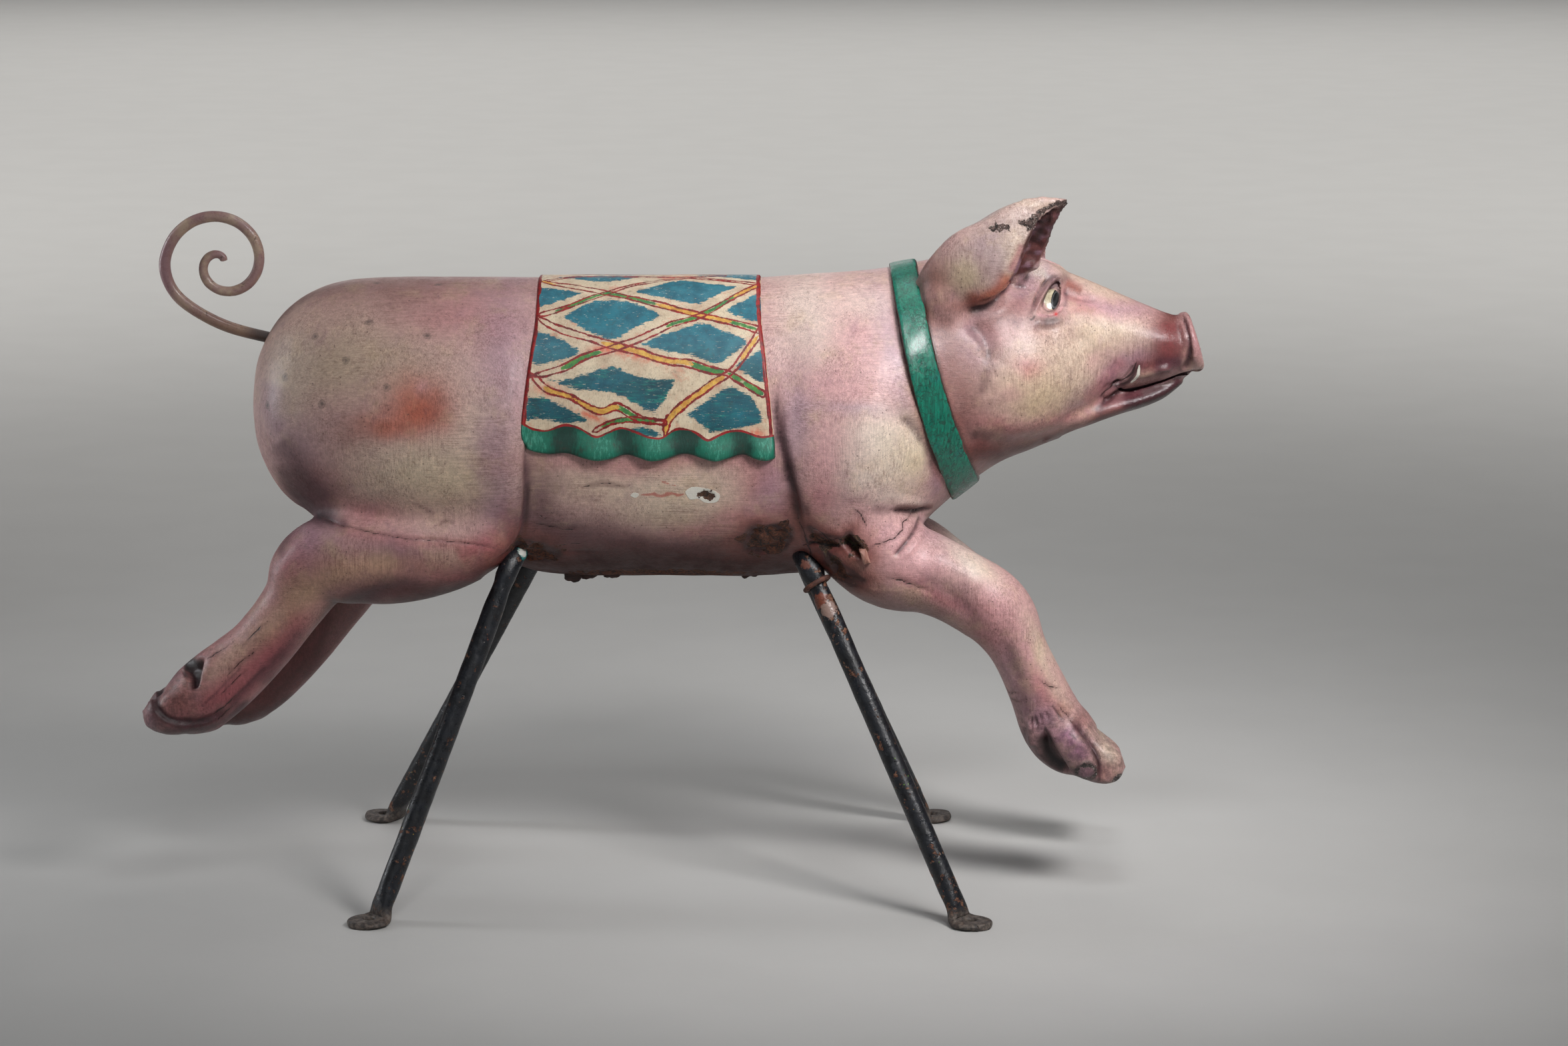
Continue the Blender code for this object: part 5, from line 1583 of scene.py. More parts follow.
ribbons = {
    # centre line of each ribbon as (x, up from the hem), half the gap between its two red lines
    "down0": ([(-168, 216), (-125, 236), (-60, 240), (0, 236), (50, 226), (104, 211)], 3),
    "down1": ([(-168, 222), (-120, 203), (-80, 190), (-40, 176), (0, 162), (34, 150), (68, 140),
               (106, 128)], 4.8),
    "down2": ([(-166, 148), (-140, 131), (-105, 119), (-66, 106), (-40, 99), (-10, 89), (24, 83),
               (50, 75), (70, 70), (108, 47)], 5),
    "down3": ([(-172, 72), (-150, 52), (-126, 44), (-100, 30), (-84, 26), (-66, 31), (-40, 17),
               (-10, 12)], 4.4),
    "up0": ([(-168, 148), (-126, 166), (-82, 190), (-40, 214), (10, 232), (60, 246)], 3.6),
    "up1": ([(-172, 68), (-134, 78), (-102, 95), (-66, 106), (-34, 120), (0, 138), (34, 151), (68, 178),
             (107, 213)], 4.6),
    "up2": ([(-10, -4), (-4, 18), (22, 40), (46, 58), (68, 72), (86, 95), (108, 130)], 5),
    "up3": ([(-96, 1), (-72, 13), (-42, 16), (-10, 11)], 3.4),
}
hemTop = [(-184, 10), (-168, 1), (-150, 0), (-131, 6), (-114, 3), (-94, -8), (-78, -3), (-62, 3),
          (-46, -2), (-30, -8), (-13, -9), (4, 1), (22, 0), (41, -12), (56, -6), (70, -1), (84, -1),
          (105, -8), (124, -6)]
bluePatches = [
    [(-137, 148), (-110, 169), (-90, 178), (-52, 174), (-14, 151), (-45, 132), (-74, 114), (-105, 127)],
    [(-44, 109), (-20, 122), (10, 132), (36, 141), (64, 128), (91, 113), (75, 96), (54, 81), (30, 90),
     (-6, 98)],
    [(-158, 67), (-128, 66), (-104, 74), (-72, 83), (-48, 72), (-20, 67), (3, 64), (-6, 42), (-22, 23),
     (-48, 34), (-70, 46), (-118, 51)],
    [(14, 22), (40, 40), (66, 57), (86, 50), (97, 42), (110, 14), (84, 4), (46, -1), (30, 12)],
    [(-171, 130), (-148, 124), (-118, 108), (-112, 96), (-140, 86), (-174, 84)],
    [(-168, 206), (-138, 200), (-112, 189), (-142, 172), (-168, 164)],
    [(-54, 191), (-26, 208), (7, 224), (45, 215), (78, 205), (54, 186), (30, 167), (-10, 178)],
    [(60, 157), (82, 176), (106, 190), (107, 142), (84, 144)],
    [(72, 82), (88, 92), (110, 104), (112, 60), (92, 66)],
    [(-176, 46), (-150, 42), (-124, 30), (-98, 14), (-128, 9), (-154, 14), (-180, 16)],
    [(-57, 4), (-42, 8), (-26, 6), (-12, -3), (-32, -7)],
    [(-150, 236), (-100, 246), (-40, 246), (-60, 226), (-90, 216)],
    [(20, 240), (60, 236), (100, 222), (104, 248), (40, 249)],
]
# which ribbon, from and to along it, half width in mm
yellows = [("down1", 0.5, 0.86, 3.2), ("down2", 0.28, 0.66, 3.4), ("down3", 0.12, 0.72, 3.4),
           ("up2", 0.02, 0.62, 3.8), ("down1", 0.0, 0.06, 3), ("up1", 0.9, 1.0, 3),
           ("up2", 0.8, 0.95, 2.6)]
greens = [("down1", 0.26, 0.5, 2.6), ("down1", 0.84, 0.98, 2.2), ("up0", 0.12, 0.42, 2.2),
          ("up1", 0.13, 0.3, 3.6), ("up1", 0.6, 0.92, 2.6), ("down2", 0.4, 0.52, 2.6),
          ("down2", 0.66, 0.84, 3.6), ("down3", 0.62, 0.95, 2.4), ("up3", 0.15, 0.85, 3),
          ("down2", 0.88, 1.0, 3.4)]


def paintCloth(made):
    own = readShape(made)
    count = len(own["co"])
    local = np.zeros(count * 3, np.float32)
    made.data.attributes["place"].data.foreach_get("vector", local)
    local = local.reshape(-1, 3).astype(float)
    x, up = local[:, 0], local[:, 1]
    flat = np.stack([x, np.sign(own["co"][:, 1]) * 0.2, up], 1)
    waver = field(flat, 45, 61) * 0.0022 + field(flat, 150, 62) * 0.0008
    uneven = field(flat, 70, 63)
    place = {"co": np.stack([x, np.zeros(count), up], 1), "no": own["no"]}
    away = {key: np.full(count, 0.03) for key in ("down", "up", "yellow", "green")}
    lines = {name: pathDistance(place, points) for name, (points, _) in ribbons.items()}
    for name, (signed, share) in lines.items():
        gap = ribbons[name][1] / 1000 * (0.8 + 0.4 * field(flat, 26, 64))
        gap = gap * (0.35 + 0.65 * ease(share, 0, 0.06))
        family = name[:-1]
        away[family] = np.minimum(away[family], np.abs(signed + waver * 0.5) - gap)
        for colour, strokes in (("yellow", yellows), ("green", greens)):
            for _, start, end, half in (row for row in strokes if row[0] == name):
                body = ease(share, start - 0.015, start + 0.03) * ease(-share, -end - 0.015, -end + 0.03)
                off = np.abs(signed + waver * 0.8) - half / 1000 * (1 + 0.35 * uneven) * np.sqrt(body)
                away[colour] = np.minimum(away[colour], off + (body <= 0) * 0.03)
    hemLine, _ = pathDistance(place, hemTop)
    red = np.minimum(0.03, np.abs(hemLine - 0.0015) - 0.0026 * (1 + 0.5 * uneven))
    back = x - along(cloth["backEdge"], up)
    front = along(cloth["frontEdge"], up) - x
    red = np.minimum(red, back + waver * 0.4 - 0.0052 * (1 + 0.35 * uneven))
    red = np.minimum(red, np.abs(front - 0.0035 + waver * 0.4) - 0.0024 * (1 + 0.4 * uneven))
    blue = np.full(count, -0.03)
    for patch in bluePatches:
        blue = np.maximum(blue, areaDistance(place, patch))
    saveFields(made, redLine=red * 1000, downEdge=away["down"] * 1000, upEdge=away["up"] * 1000,
               yellowLine=away["yellow"] * 1000, greenLine=away["green"] * 1000,
               bluePatch=(blue + waver * 0.3) * 1000,
               belowHem=np.where(up > 0.03, -30, (0.0015 - hemLine) * 1000))
    smear = (spot(place, (-40, 94), (40, 6), -14) + spot(place, (-80, 104), (22, 5), 10)
             + spot(place, (-150, 52), (14, 8)) + 0.9 * spot(place, (-75, 238), (16, 5))
             + spot(place, (0, 236), (18, 5), 10) + 0.9 * spot(place, (98, -1), (14, 6))
             + spot(place, (-98, 20), (22, 4), -20) + 0.6 * spot(place, (100, 200), (10, 6)))
    saveFields(made, smear=np.clip(smear, 0, 1),
               teal=np.clip(ease(-up, -0.13, -0.05) * (0.75 + 0.5 * field(flat, 30, 65)), 0, 1))
    low = along(cloth["hemLow"], x)
    lobe = 1 - ease(low + 0.0025 * field(flat, 50, 66), 0.5495, 0.5585)
    saveFields(made, lobe=np.maximum(lobe, 1 - ease(x, -0.158, -0.136)))


building = {}    # "tree": the node tree that new nodes go into


def add(kind, feeds=None, **settings):
    made = building["tree"].nodes.new("ShaderNode" + kind)
    for key, value in settings.items():
        setattr(made, key, value)
    for socket, value in (feeds or {}).items():
        feed(made.inputs[socket], value)
    return made


def feed(socket, value):
    if isinstance(value, bpy.types.NodeSocket):
        building["tree"].links.new(value, socket)
    else:
        socket.default_value = value


def calc(operation, a, b=0.0, clamp=False):
    return add("Math", {0: a, 1: b}, operation=operation, use_clamp=clamp).outputs[0]


def times(a, b):
    return calc("MULTIPLY", a, b)


def plus(a, b, clamp=False):
    return calc("ADD", a, b, clamp)


def minus(a, b):
    return calc("SUBTRACT", a, b)


def mix(share, a, b, kind="MIX"):
    # colours may be given as three whole numbers up to 255
    made = add("Mix", {"Factor": share}, data_type="RGBA", blend_type=kind)
    for socket, value in ((6, a), (7, b)):
        feed(made.inputs[socket], (*linear(*value), 1) if isinstance(value, tuple) else value)
    return made.outputs[2]


def shaded(tone, by):
    return mix(1.0, tone, add("CombineColor", {0: by, 1: by, 2: by}).outputs[0], "MULTIPLY")


def rise(value, low, high, bottom=0.0, top=1.0):
    # from bottom to top while the value goes from low to high
    made = add("MapRange", {"Value": value, "From Min": low, "From Max": high,
                                      "To Min": bottom, "To Max": top}, interpolation_type="SMOOTHSTEP")
    return made.outputs["Result"]


def ownPlace():
    return add("TexCoord").outputs["Object"]


def ownAxes():
    return add("SeparateXYZ", {0: ownPlace()}).outputs


def awayFrom(here, there):
    return add("VectorMath", {0: here, 1: there}, operation="DISTANCE").outputs["Value"]


def fine(scale, detail=3.0, rough=0.55, stretch=(1, 1, 1)):
    # noise from 0 to 1 in the object's own metres
    spread = add("Mapping", {"Vector": ownPlace(), "Scale": stretch})
    made = add("TexNoise", {"Vector": spread.outputs[0], "Scale": scale, "Detail": detail,
                                      "Roughness": rough})
    return made.outputs["Fac"]


def read(name, colour=False):
    return add("Attribute", attribute_name=name).outputs["Color" if colour else "Fac"]


def newGroup(name, values, results):
    # a group of nodes with named values in and out; returns the sockets of its inputs
    tree = bpy.data.node_groups.new(name, "ShaderNodeTree")
    building["tree"] = tree
    for label, value in values.items():
        socket = tree.interface.new_socket(label, in_out="INPUT", socket_type="NodeSocketFloat")
        socket.default_value = value
    for label in results:
        tree.interface.new_socket(label, in_out="OUTPUT", socket_type="NodeSocketFloat")
    given = tree.nodes.new("NodeGroupInput")
    tree.nodes.new("NodeGroupOutput")
    return given.outputs


def giveBack(**results):
    for label, value in results.items():
        feed(building["tree"].nodes["Group Output"].inputs[label], value)


def use(name, **feeds):
    return add("Group", feeds, node_tree=bpy.data.node_groups[name]).outputs


def buildGroups():
    # streaks that the brush left, and the fine grain of old paint
    given = newGroup("brush_marks", {"Strength": 0.1}, ("Tone", "Height"))
    upright = fine(1.0, 4, 0.6, (640, 640, 26))
    level = fine(1.0, 4, 0.6, (34, 640, 640))
    pick = rise(fine(7, 2), 0.42, 0.58)
    mixed = add("Mix", {0: pick, 2: upright, 3: level}).outputs[0]
    grain = fine(900, 2, 0.6)
    total = plus(times(mixed, 0.65), times(grain, 0.35))
    giveBack(Tone=plus(times(minus(total, 0.5), given["Strength"]), 1.0), Height=total)

    # fine net of cracks, only in some areas
    given = newGroup("craquelure", {"Cells": 90.0, "Width": 0.03, "Cover": 0.5}, ("Mask",))
    where = ownPlace()
    bend = add("TexNoise", {"Vector": where, "Scale": 60.0, "Detail": 2.0})
    moved = add("VectorMath", {0: bend.outputs["Color"], 1: (0.012, 0.012, 0.012)},
                operation="MULTIPLY")
    moved = add("VectorMath", {0: where, 1: moved.outputs[0]}, operation="ADD")
    cells = add("TexVoronoi", {"Vector": moved.outputs[0], "Scale": given["Cells"]},
                feature="DISTANCE_TO_EDGE")
    line = calc("LESS_THAN", cells.outputs["Distance"], given["Width"])
    area = calc("LESS_THAN", fine(14, 4, 0.65), given["Cover"])
    broken = calc("GREATER_THAN", fine(110, 3), 0.48)
    giveBack(Mask=times(times(line, area), broken))

    # ragged threshold of a distance, in millimetres: 1 where the distance is above zero
    given = newGroup("ragged_edge", {"Distance": 0.0, "Ragged": 1.0, "Scale": 300.0, "Soft": 0.3},
                     ("Mask", "Shifted"))
    rough = add("TexNoise", {"Vector": ownPlace(), "Scale": given["Scale"], "Detail": 4.0,
                                       "Roughness": 0.65}).outputs["Fac"]
    shift = times(minus(rough, 0.5), given["Ragged"])
    shifted = plus(given["Distance"], times(shift, 3.0))
    giveBack(Mask=plus(calc("DIVIDE", shifted, given["Soft"]), 0.5, clamp=True), Shifted=shifted)

    # small scattered specks
    given = newGroup("specks", {"Scale": 300.0, "Size": 0.2, "Share": 0.1}, ("Mask",))
    cells = add("TexVoronoi", {"Vector": ownPlace(), "Scale": given["Scale"]})
    inside = calc("LESS_THAN", cells.outputs["Distance"], given["Size"])
    chance = add("SeparateColor", {0: cells.outputs["Color"]}).outputs[0]
    giveBack(Mask=times(inside, calc("LESS_THAN", chance, given["Share"])))


def newMaterial(name):
    made = bpy.data.materials.new(name)
    made.use_nodes = True
    building["tree"] = made.node_tree
    return made


def finish(made, colour, rough, height, depth, coatWeight=0.0, coatRough=0.2):
    bump = {"Height": height, "Distance": depth, "Strength": 1.0}
    for label, value in (("Base Color", colour), ("Roughness", rough), ("Coat Weight", coatWeight),
                         ("Coat Roughness", coatRough)):
        feed(made.node_tree.nodes["Principled BSDF"].inputs[label], value)
    feed(made.node_tree.nodes["Principled BSDF"].inputs["Normal"], add("Bump", bump).outputs[0])
    return made


buildGroups()

carvedPaint = {
    "roughness": (0.36, 0.58),  # of the varnished paint, least and most
    "varnish": 0.48,        # share of dark varnish left in the strokes
    "brush": 0.85,          # strength of the brush marks
    "mottle": 0.3,
    # strength of the dirt and painted shade
    "grime": 0.62,
    "bump": 0.0014,         # height of the paint's relief, in metres
    "coat": 0.18,
}


def carvedPaintMaterial():
    made = newMaterial("carved_paint")
    tint = read("tint", True)
    brush = use("brush_marks", Strength=carvedPaint["brush"])
    # uneven glazes of yellow and mauve over the light paint
    light = rise(add("RGBToBW", {0: tint}).outputs[0], 0.03, 0.25)
    warm = rise(fine(26, 5, 0.65), 0.5, 0.72, 0, carvedPaint["mottle"])
    tone = mix(times(warm, light), tint, (196, 172, 134))
    cool = rise(fine(34, 5, 0.65, (1.3, 1, 0.8)), 0.52, 0.74, 0, carvedPaint["mottle"] * 1.1)
    tone = mix(times(cool, light), tone, (142, 104, 116))
    tone = shaded(tone, rise(fine(150, 6, 0.8), 0.32, 0.72, 0.8, 1.12))
    tone = shaded(tone, brush["Tone"])
    # dark varnish left in the brush strokes
    glaze = plus(times(brush["Height"], 0.7), times(fine(260, 5, 0.8), 0.5))
    glaze = times(rise(glaze, 0.66, 0.48), rise(fine(20, 4, 0.7), 0.4, 0.6, 0.25, 1.0))
    tone = mix(times(glaze, carvedPaint["varnish"]), tone, (160, 122, 122), "MULTIPLY")
    net = use("craquelure", Cells=150.0, Width=0.02, Cover=0.46)["Mask"]
    tone = mix(times(net, 0.38), tone, (84, 50, 48))
    pits = use("specks", Scale=230.0, Size=0.22, Share=0.05)["Mask"]
    tone = mix(times(pits, 0.6), tone, (70, 46, 46))
    # plugs over nails: a dark middle in a grey ring
    here = ownPlace()
    nail = 1.0
    for at in nailHeads:
        nail = calc("MINIMUM", nail, awayFrom(here, at))
    nail = plus(nail, times(minus(fine(210, 5, 0.7), 0.5), 0.0085))
    ring = calc("ABSOLUTE", minus(nail, 0.0042))
    tone = mix(rise(ring, 0.0002, 0.0014, 0.42, 0), tone, (84, 74, 68))
    tone = mix(rise(nail, 0.0006, 0.0046, 0.72, 0), tone, (66, 58, 58))
    # dirt and painted shade, in the hollows and underneath
    dirtAndShade = times(read("grime"), rise(fine(120, 5, 0.7), 0.36, 0.62))
    tone = mix(times(dirtAndShade, carvedPaint["grime"]), tone, (36, 21, 21))
    # cracks, lumps of white ground and bare wood
    crack = read("crack")
    line = rise(plus(crack, times(fine(420, 3), 1.2)), 1.0, 2.2, 1, 0)
    halo = rise(crack, 1.0, 9.0, 0.35, 0)
    tone = mix(halo, tone, (96, 58, 58))
    tone = mix(times(line, 0.9), tone, (38, 22, 22))
    scrawl = plus(read("scrawl"), times(fine(240, 3), 2.0))
    tone = mix(rise(scrawl, 1.5, 2.5, 0.62, 0), tone, (172, 52, 44))
    white = use("ragged_edge", Distance=read("whites"), Ragged=0.8, Scale=420.0, Soft=0.4)
    tone = mix(white["Mask"], tone, (222, 218, 206))
    bare = use("ragged_edge", Distance=read("wear"), Ragged=6.0, Scale=150.0, Soft=0.8)
    rim = rise(bare["Shifted"], -1.1, -0.1, 0, 1)
    rim = times(rim, rise(bare["Shifted"], -0.1, 0.2, 1, 0))
    tone = mix(times(rim, 0.08), tone, (214, 190, 176))
    woodTone = mix(rise(fine(330, 5, 0.75), 0.35, 0.7), read("under", True), (26, 15, 11))
    glint = use("specks", Scale=620.0, Size=0.42, Share=0.26)["Mask"]
    glint = times(glint, read("glint"))
    woodTone = mix(times(glint, 0.8), woodTone, (206, 198, 190))
    split = calc("ABSOLUTE", minus(fine(62, 5, 0.62, (0.8, 1, 1.5)), 0.5))
    split = times(rise(split, 0.004, 0.03, 1, 0), bare["Mask"])
    woodTone = mix(times(split, 0.85), woodTone, (15, 9, 8))
    tone = mix(bare["Mask"], tone, woodTone)
    tone = mix(times(times(line, bare["Mask"]), 0.9), tone, (16, 10, 9))
    low, high = carvedPaint["roughness"]
    rough = rise(fine(40, 5, 0.7), 0.3, 0.7, low, high)
    rough = minus(rough, times(read("gloss"), 0.16))
    rough = plus(rough, times(bare["Mask"], 0.2))
    height = plus(times(brush["Height"], 0.42), times(fine(110, 6, 0.65), 0.6))
    height = minus(height, times(line, 0.9))
    height = minus(height, times(net, 0.12))
    height = plus(height, times(white["Mask"], 0.5))
    loose = minus(times(fine(190, 5, 0.8), 3.6), 2.6)
    loose = minus(loose, times(split, 1.4))
    height = plus(height, times(bare["Mask"], loose))
    shine = rise(read("gloss"), -1.0, 0.0, 0.0, carvedPaint["coat"])
    return finish(made, tone, rough, height, carvedPaint["bump"], shine, 0.3)


def clothMaterial():
    made = newMaterial("cloth_paint")
    brush = use("brush_marks", Strength=0.45)
    threads = fine(1.0, 4, 0.6, (900, 900, 40))
    ground = mix(rise(fine(30, 5, 0.7), 0.35, 0.7), (214, 198, 170), (184, 160, 134))
    ground = mix(rise(threads, 0.48, 0.7, 0, 0.4), ground, (140, 118, 98))
    ground = mix(rise(fine(48, 5, 0.7), 0.56, 0.68, 0, 0.6), ground, (196, 132, 108))
    ground = mix(times(read("smear"), rise(fine(160, 4), 0.3, 0.6)), ground, (208, 104, 76))
    # dry-brushed blue that turns to teal lower down
    blue = use("ragged_edge", Distance=read("bluePatch"), Ragged=2.6, Scale=110.0, Soft=0.6)
    bristle = fine(1.0, 4, 0.7, (130, 200, 900))
    thin = rise(blue["Shifted"], -0.5, 5.0, 0.66, 0.36)
    dry = rise(minus(plus(bristle, thin), 1.0), -0.02, 0.06)
    blueMask = times(blue["Mask"], minus(1.0, dry))
    blueTone = mix(rise(fine(60, 5, 0.7), 0.36, 0.66), (26, 112, 128), (20, 90, 108))
    tealTone = mix(rise(fine(1.0, 5, 0.7, (60, 60, 300)), 0.36, 0.62), (8, 84, 92), (6, 62, 74))
    tealTone = mix(rise(fine(1.0, 4, 0.7, (40, 60, 260)), 0.54, 0.66), tealTone, (22, 122, 108))
    lower = times(read("teal"), rise(fine(26, 4), 0.26, 0.42))
    blueTone = mix(lower, blueTone, tealTone)
    tone = mix(blueMask, ground, blueTone)
    scuff = rise(fine(1.0, 5, 0.75, (120, 120, 420)), 0.62, 0.66)
    scuff = times(scuff, rise(fine(24, 3), 0.5, 0.56))
    tone = mix(times(scuff, 0.9), tone, (214, 208, 190))
    for name, rag, paintTone, shade in (("greenLine", 1.0, (74, 140, 52), (44, 108, 60)),
                                        ("yellowLine", 0.9, (214, 170, 74), (190, 134, 52)),
                                        ("redLine", 0.6, (150, 14, 14), (98, 9, 12))):
        outside = read(name)
        if name == "redLine":
            width = rise(fine(55, 4, 0.7), 0.35, 0.65, 0.75, 1.75)
            for family in ("downEdge", "upEdge"):
                away = minus(calc("ABSOLUTE", read(family), 0.0), width)
                outside = calc("MINIMUM", outside, away)
        outside = times(outside, -1.0)
        edge = use("ragged_edge", Distance=outside, Ragged=rag, Scale=220.0, Soft=0.4)
        layer = mix(rise(fine(130, 5, 0.7), 0.38, 0.62), paintTone, shade)
        skip = rise(fine(170, 3), 0.76 if name == "redLine" else 0.58, 0.84)
        tone = mix(times(edge["Mask"], minus(1.0, skip)), tone, layer)
    # hem: emerald, bright on its folds and dark between them; the palest streaks on the crests are painted
    # highlight
    hem = use("ragged_edge", Distance=read("belowHem"), Ragged=0.5, Scale=160.0, Soft=0.5)
    strokes = fine(1.0, 5, 0.7, (420, 300, 110))
    bright = plus(times(read("lobe"), 0.55), times(strokes, 0.9))
    emerald = mix(rise(bright, 0.4, 0.98), (6, 52, 42), (12, 106, 84))
    emerald = mix(rise(bright, 0.96, 1.1, 0, 0.6), emerald, (76, 160, 136))
    tone = mix(times(hem["Mask"], 1.0), tone, emerald)
    # chips of white and dark dirt
    dirt = rise(fine(95, 6, 0.8), 0.52, 0.72, 0, 0.5)
    tone = mix(dirt, tone, (64, 48, 40))
    tone = shaded(tone, brush["Tone"])
    rough = rise(fine(60, 4, 0.7), 0.3, 0.7, 0.38, 0.62)
    height = plus(times(brush["Height"], 0.4), times(blueMask, 0.12))
    height = plus(height, times(fine(90, 4), 0.3))
    return finish(made, tone, rough, height, 0.0008, 0.12, 0.3)


def collarMaterial():
    made = newMaterial("collar_enamel")
    brush = use("brush_marks", Strength=0.35)
    place = ownAxes()
    streaks = fine(1.0, 5, 0.7, (380, 300, 34))
    tone = mix(rise(streaks, 0.34, 0.66), (0, 76, 62), (4, 118, 94))
    tone = mix(rise(fine(45, 5, 0.7), 0.52, 0.68, 0, 0.55), tone, (14, 112, 104))
    scuff = rise(fine(105, 6, 0.75), 0.54, 0.6)
    lower = rise(place["Z"], 0.5, 0.74, 0.85, 0.25)
    tone = mix(times(scuff, lower), tone, (28, 38, 34))
    net = use("craquelure", Cells=150.0, Width=0.045, Cover=0.56)["Mask"]
    tone = mix(times(net, 0.6), tone, (20, 44, 38))
    across = add("Math", {0: read("across")}, operation="ABSOLUTE").outputs[0]
    ragged = plus(across, times(fine(120, 4, 0.7), 0.1))
    tone = mix(rise(ragged, 0.5, 0.53), tone, (50, 32, 26))
    tone = shaded(tone, brush["Tone"])
    rough = rise(fine(70, 5, 0.7), 0.3, 0.7, 0.22, 0.46)
    height = plus(times(streaks, 0.6), times(fine(60, 5, 0.6), 0.9))
    height = minus(height, times(net, 0.3))
    return finish(made, tone, rough, height, 0.0013, 0.32, 0.2)


def eyeMaterial():
    made = newMaterial("painted_eye")
    ball = read("iris")
    white = mix(rise(fine(160, 5, 0.7), 0.35, 0.7), (186, 176, 150), (144, 130, 106))
    iris = use("ragged_edge", Distance=ball, Ragged=0.22, Scale=500.0, Soft=0.25)
    tone = mix(iris["Mask"], white, (26, 26, 28))
    tone = mix(rise(ball, 0.7, 1.2), tone, (70, 72, 72))
    tone = mix(rise(ball, 1.7, 2.2), tone, (12, 12, 13))
    # painted shadow of the upper lid across the top of the ball
    height = ownAxes()["Z"]
    shade = rise(plus(height, times(fine(300, 4), 0.004)), 0.742, 0.75, 0, 0.8)
    tone = mix(shade, tone, (50, 32, 30))
    # painted shade where the ball meets the lids
    socketShade = rise(read("rim"), 0.15, 0.9, 0, 0.9)
    tone = mix(socketShade, tone, (96, 56, 52))
    return finish(made, tone, 0.22, fine(220, 3), 0.0003, 0.5, 0.08)


def pipeMaterial():
    made = newMaterial("black_pipe_paint")
    place = ownAxes()
    tone = mix(rise(fine(60, 6, 0.7), 0.35, 0.68), (13, 14, 17), (27, 30, 36))
    worn = rise(fine(85, 7, 0.75), 0.575, 0.615)
    footWear = rise(place["Z"], 0.02, 0.13, 1, 0)
    neckWear = rise(place["Z"], 0.3, 0.345)
    neckWear = times(neckWear, rise(place["X"], 0.0, 0.05))
    rub = plus(times(footWear, 0.045), times(neckWear, 0.035))
    rust = rise(plus(fine(78, 7, 0.72), rub), 0.6, 0.625)
    rustTone = mix(rise(fine(240, 5, 0.7), 0.4, 0.65), (92, 50, 30), (132, 96, 74))
    tone = mix(times(worn, 0.4), tone, (58, 60, 64))
    tone = mix(rust, tone, rustTone)
    # small flecks of other paints, in clusters
    for scale, share, fleck in ((190.0, 0.1, (96, 140, 40)), (230.0, 0.08, (150, 60, 40)),
                                (260.0, 0.12, (176, 170, 158)), (210.0, 0.06, (176, 142, 60))):
        marks = use("specks", Scale=scale, Size=0.15, Share=share)["Mask"]
        marks = times(marks, rise(fine(scale / 14, 3), 0.54, 0.56))
        tone = mix(marks, tone, fleck)
    # chips: teal and white on the rear elbow, brown above the link, rust and pale ground below it
    here = ownPlace()
    for middle, radius, fleck in (((-0.182, -0.0995, 0.428), 0.0105, (28, 116, 112)),
                                  ((-0.184, -0.102, 0.429), 0.007, (200, 200, 192)),
                                  ((0.161, -0.121, 0.417), 0.006, (104, 66, 56)),
                                  ((0.178, -0.134, 0.374), 0.01, (112, 60, 44)),
                                  ((0.189, -0.139, 0.366), 0.0105, (134, 110, 100))):
        away = awayFrom(here, middle)
        close = plus(away, times(minus(fine(130, 5, 0.75), 0.5), 0.024))
        tone = mix(rise(close, radius + 0.0006, radius - 0.0006), tone, fleck)
    # trodden and dusty feet
    foot = rise(plus(place["Z"], times(fine(70, 4), 0.016)), 0.018, 0.034, 1, 0)
    dust = mix(rise(fine(160, 6, 0.75), 0.38, 0.66), (56, 50, 48), (120, 108, 98))
    tone = mix(times(foot, 0.85), tone, dust)
    rough = rise(fine(110, 5, 0.7), 0.3, 0.7, 0.22, 0.46)
    rough = plus(rough, times(plus(foot, rust, clamp=True), 0.3))
    height = plus(fine(75, 6, 0.65), times(rust, -0.5))
    height = plus(height, times(fine(420, 3), 0.25))
    return finish(made, tone, rough, height, 0.0011, 0.0)


def tailMaterial():
    made = newMaterial("tail_paint")
    place = ownAxes()
    tone = mix(rise(fine(28, 5, 0.7), 0.38, 0.62), (186, 160, 138), (158, 122, 120))
    tone = mix(rise(place["X"], -0.6, -0.628), tone, (150, 112, 116))
    # painted shade: browner low on the rod, and darkest at its root where it goes into the rump
    tone = mix(rise(place["Z"], 0.735, 0.69, 0, 0.75), tone, (132, 100, 78))
    root = times(rise(place["X"], -0.54, -0.512, 0, 0.85), rise(place["Z"], 0.705, 0.69))
    tone = mix(root, tone, (44, 28, 26))
    worn = rise(fine(120, 7, 0.75), 0.6, 0.66)
    tone = mix(times(worn, 0.7), tone, (74, 54, 50))
    specks = use("specks", Scale=520.0, Size=0.3, Share=0.05)["Mask"]
    tone = mix(times(specks, 0.5), tone, (66, 46, 42))
    rough = rise(fine(90, 4, 0.7), 0.3, 0.7, 0.24, 0.4)
    height = minus(fine(150, 5, 0.65), times(worn, 0.3))
    return finish(made, tone, rough, height, 0.0007, 0.35, 0.15)


def rustMaterial():
    made = newMaterial("rusty_link_iron")
    tone = mix(rise(fine(190, 6, 0.75), 0.36, 0.66), (58, 36, 32), (112, 68, 52))
    tone = mix(rise(fine(420, 4, 0.7), 0.55, 0.68, 0, 0.6), tone, (34, 26, 26))
    return finish(made, tone, 0.72, fine(300, 5, 0.7), 0.001)


def splinterMaterial():
    made = newMaterial("splintered_wood")
    tone = mix(rise(fine(1.0, 5, 0.7, (60, 400, 400)), 0.36, 0.64), (70, 44, 38), (36, 22, 19))
    return finish(made, tone, 0.65, fine(1.0, 5, 0.7, (80, 500, 500)), 0.0012)


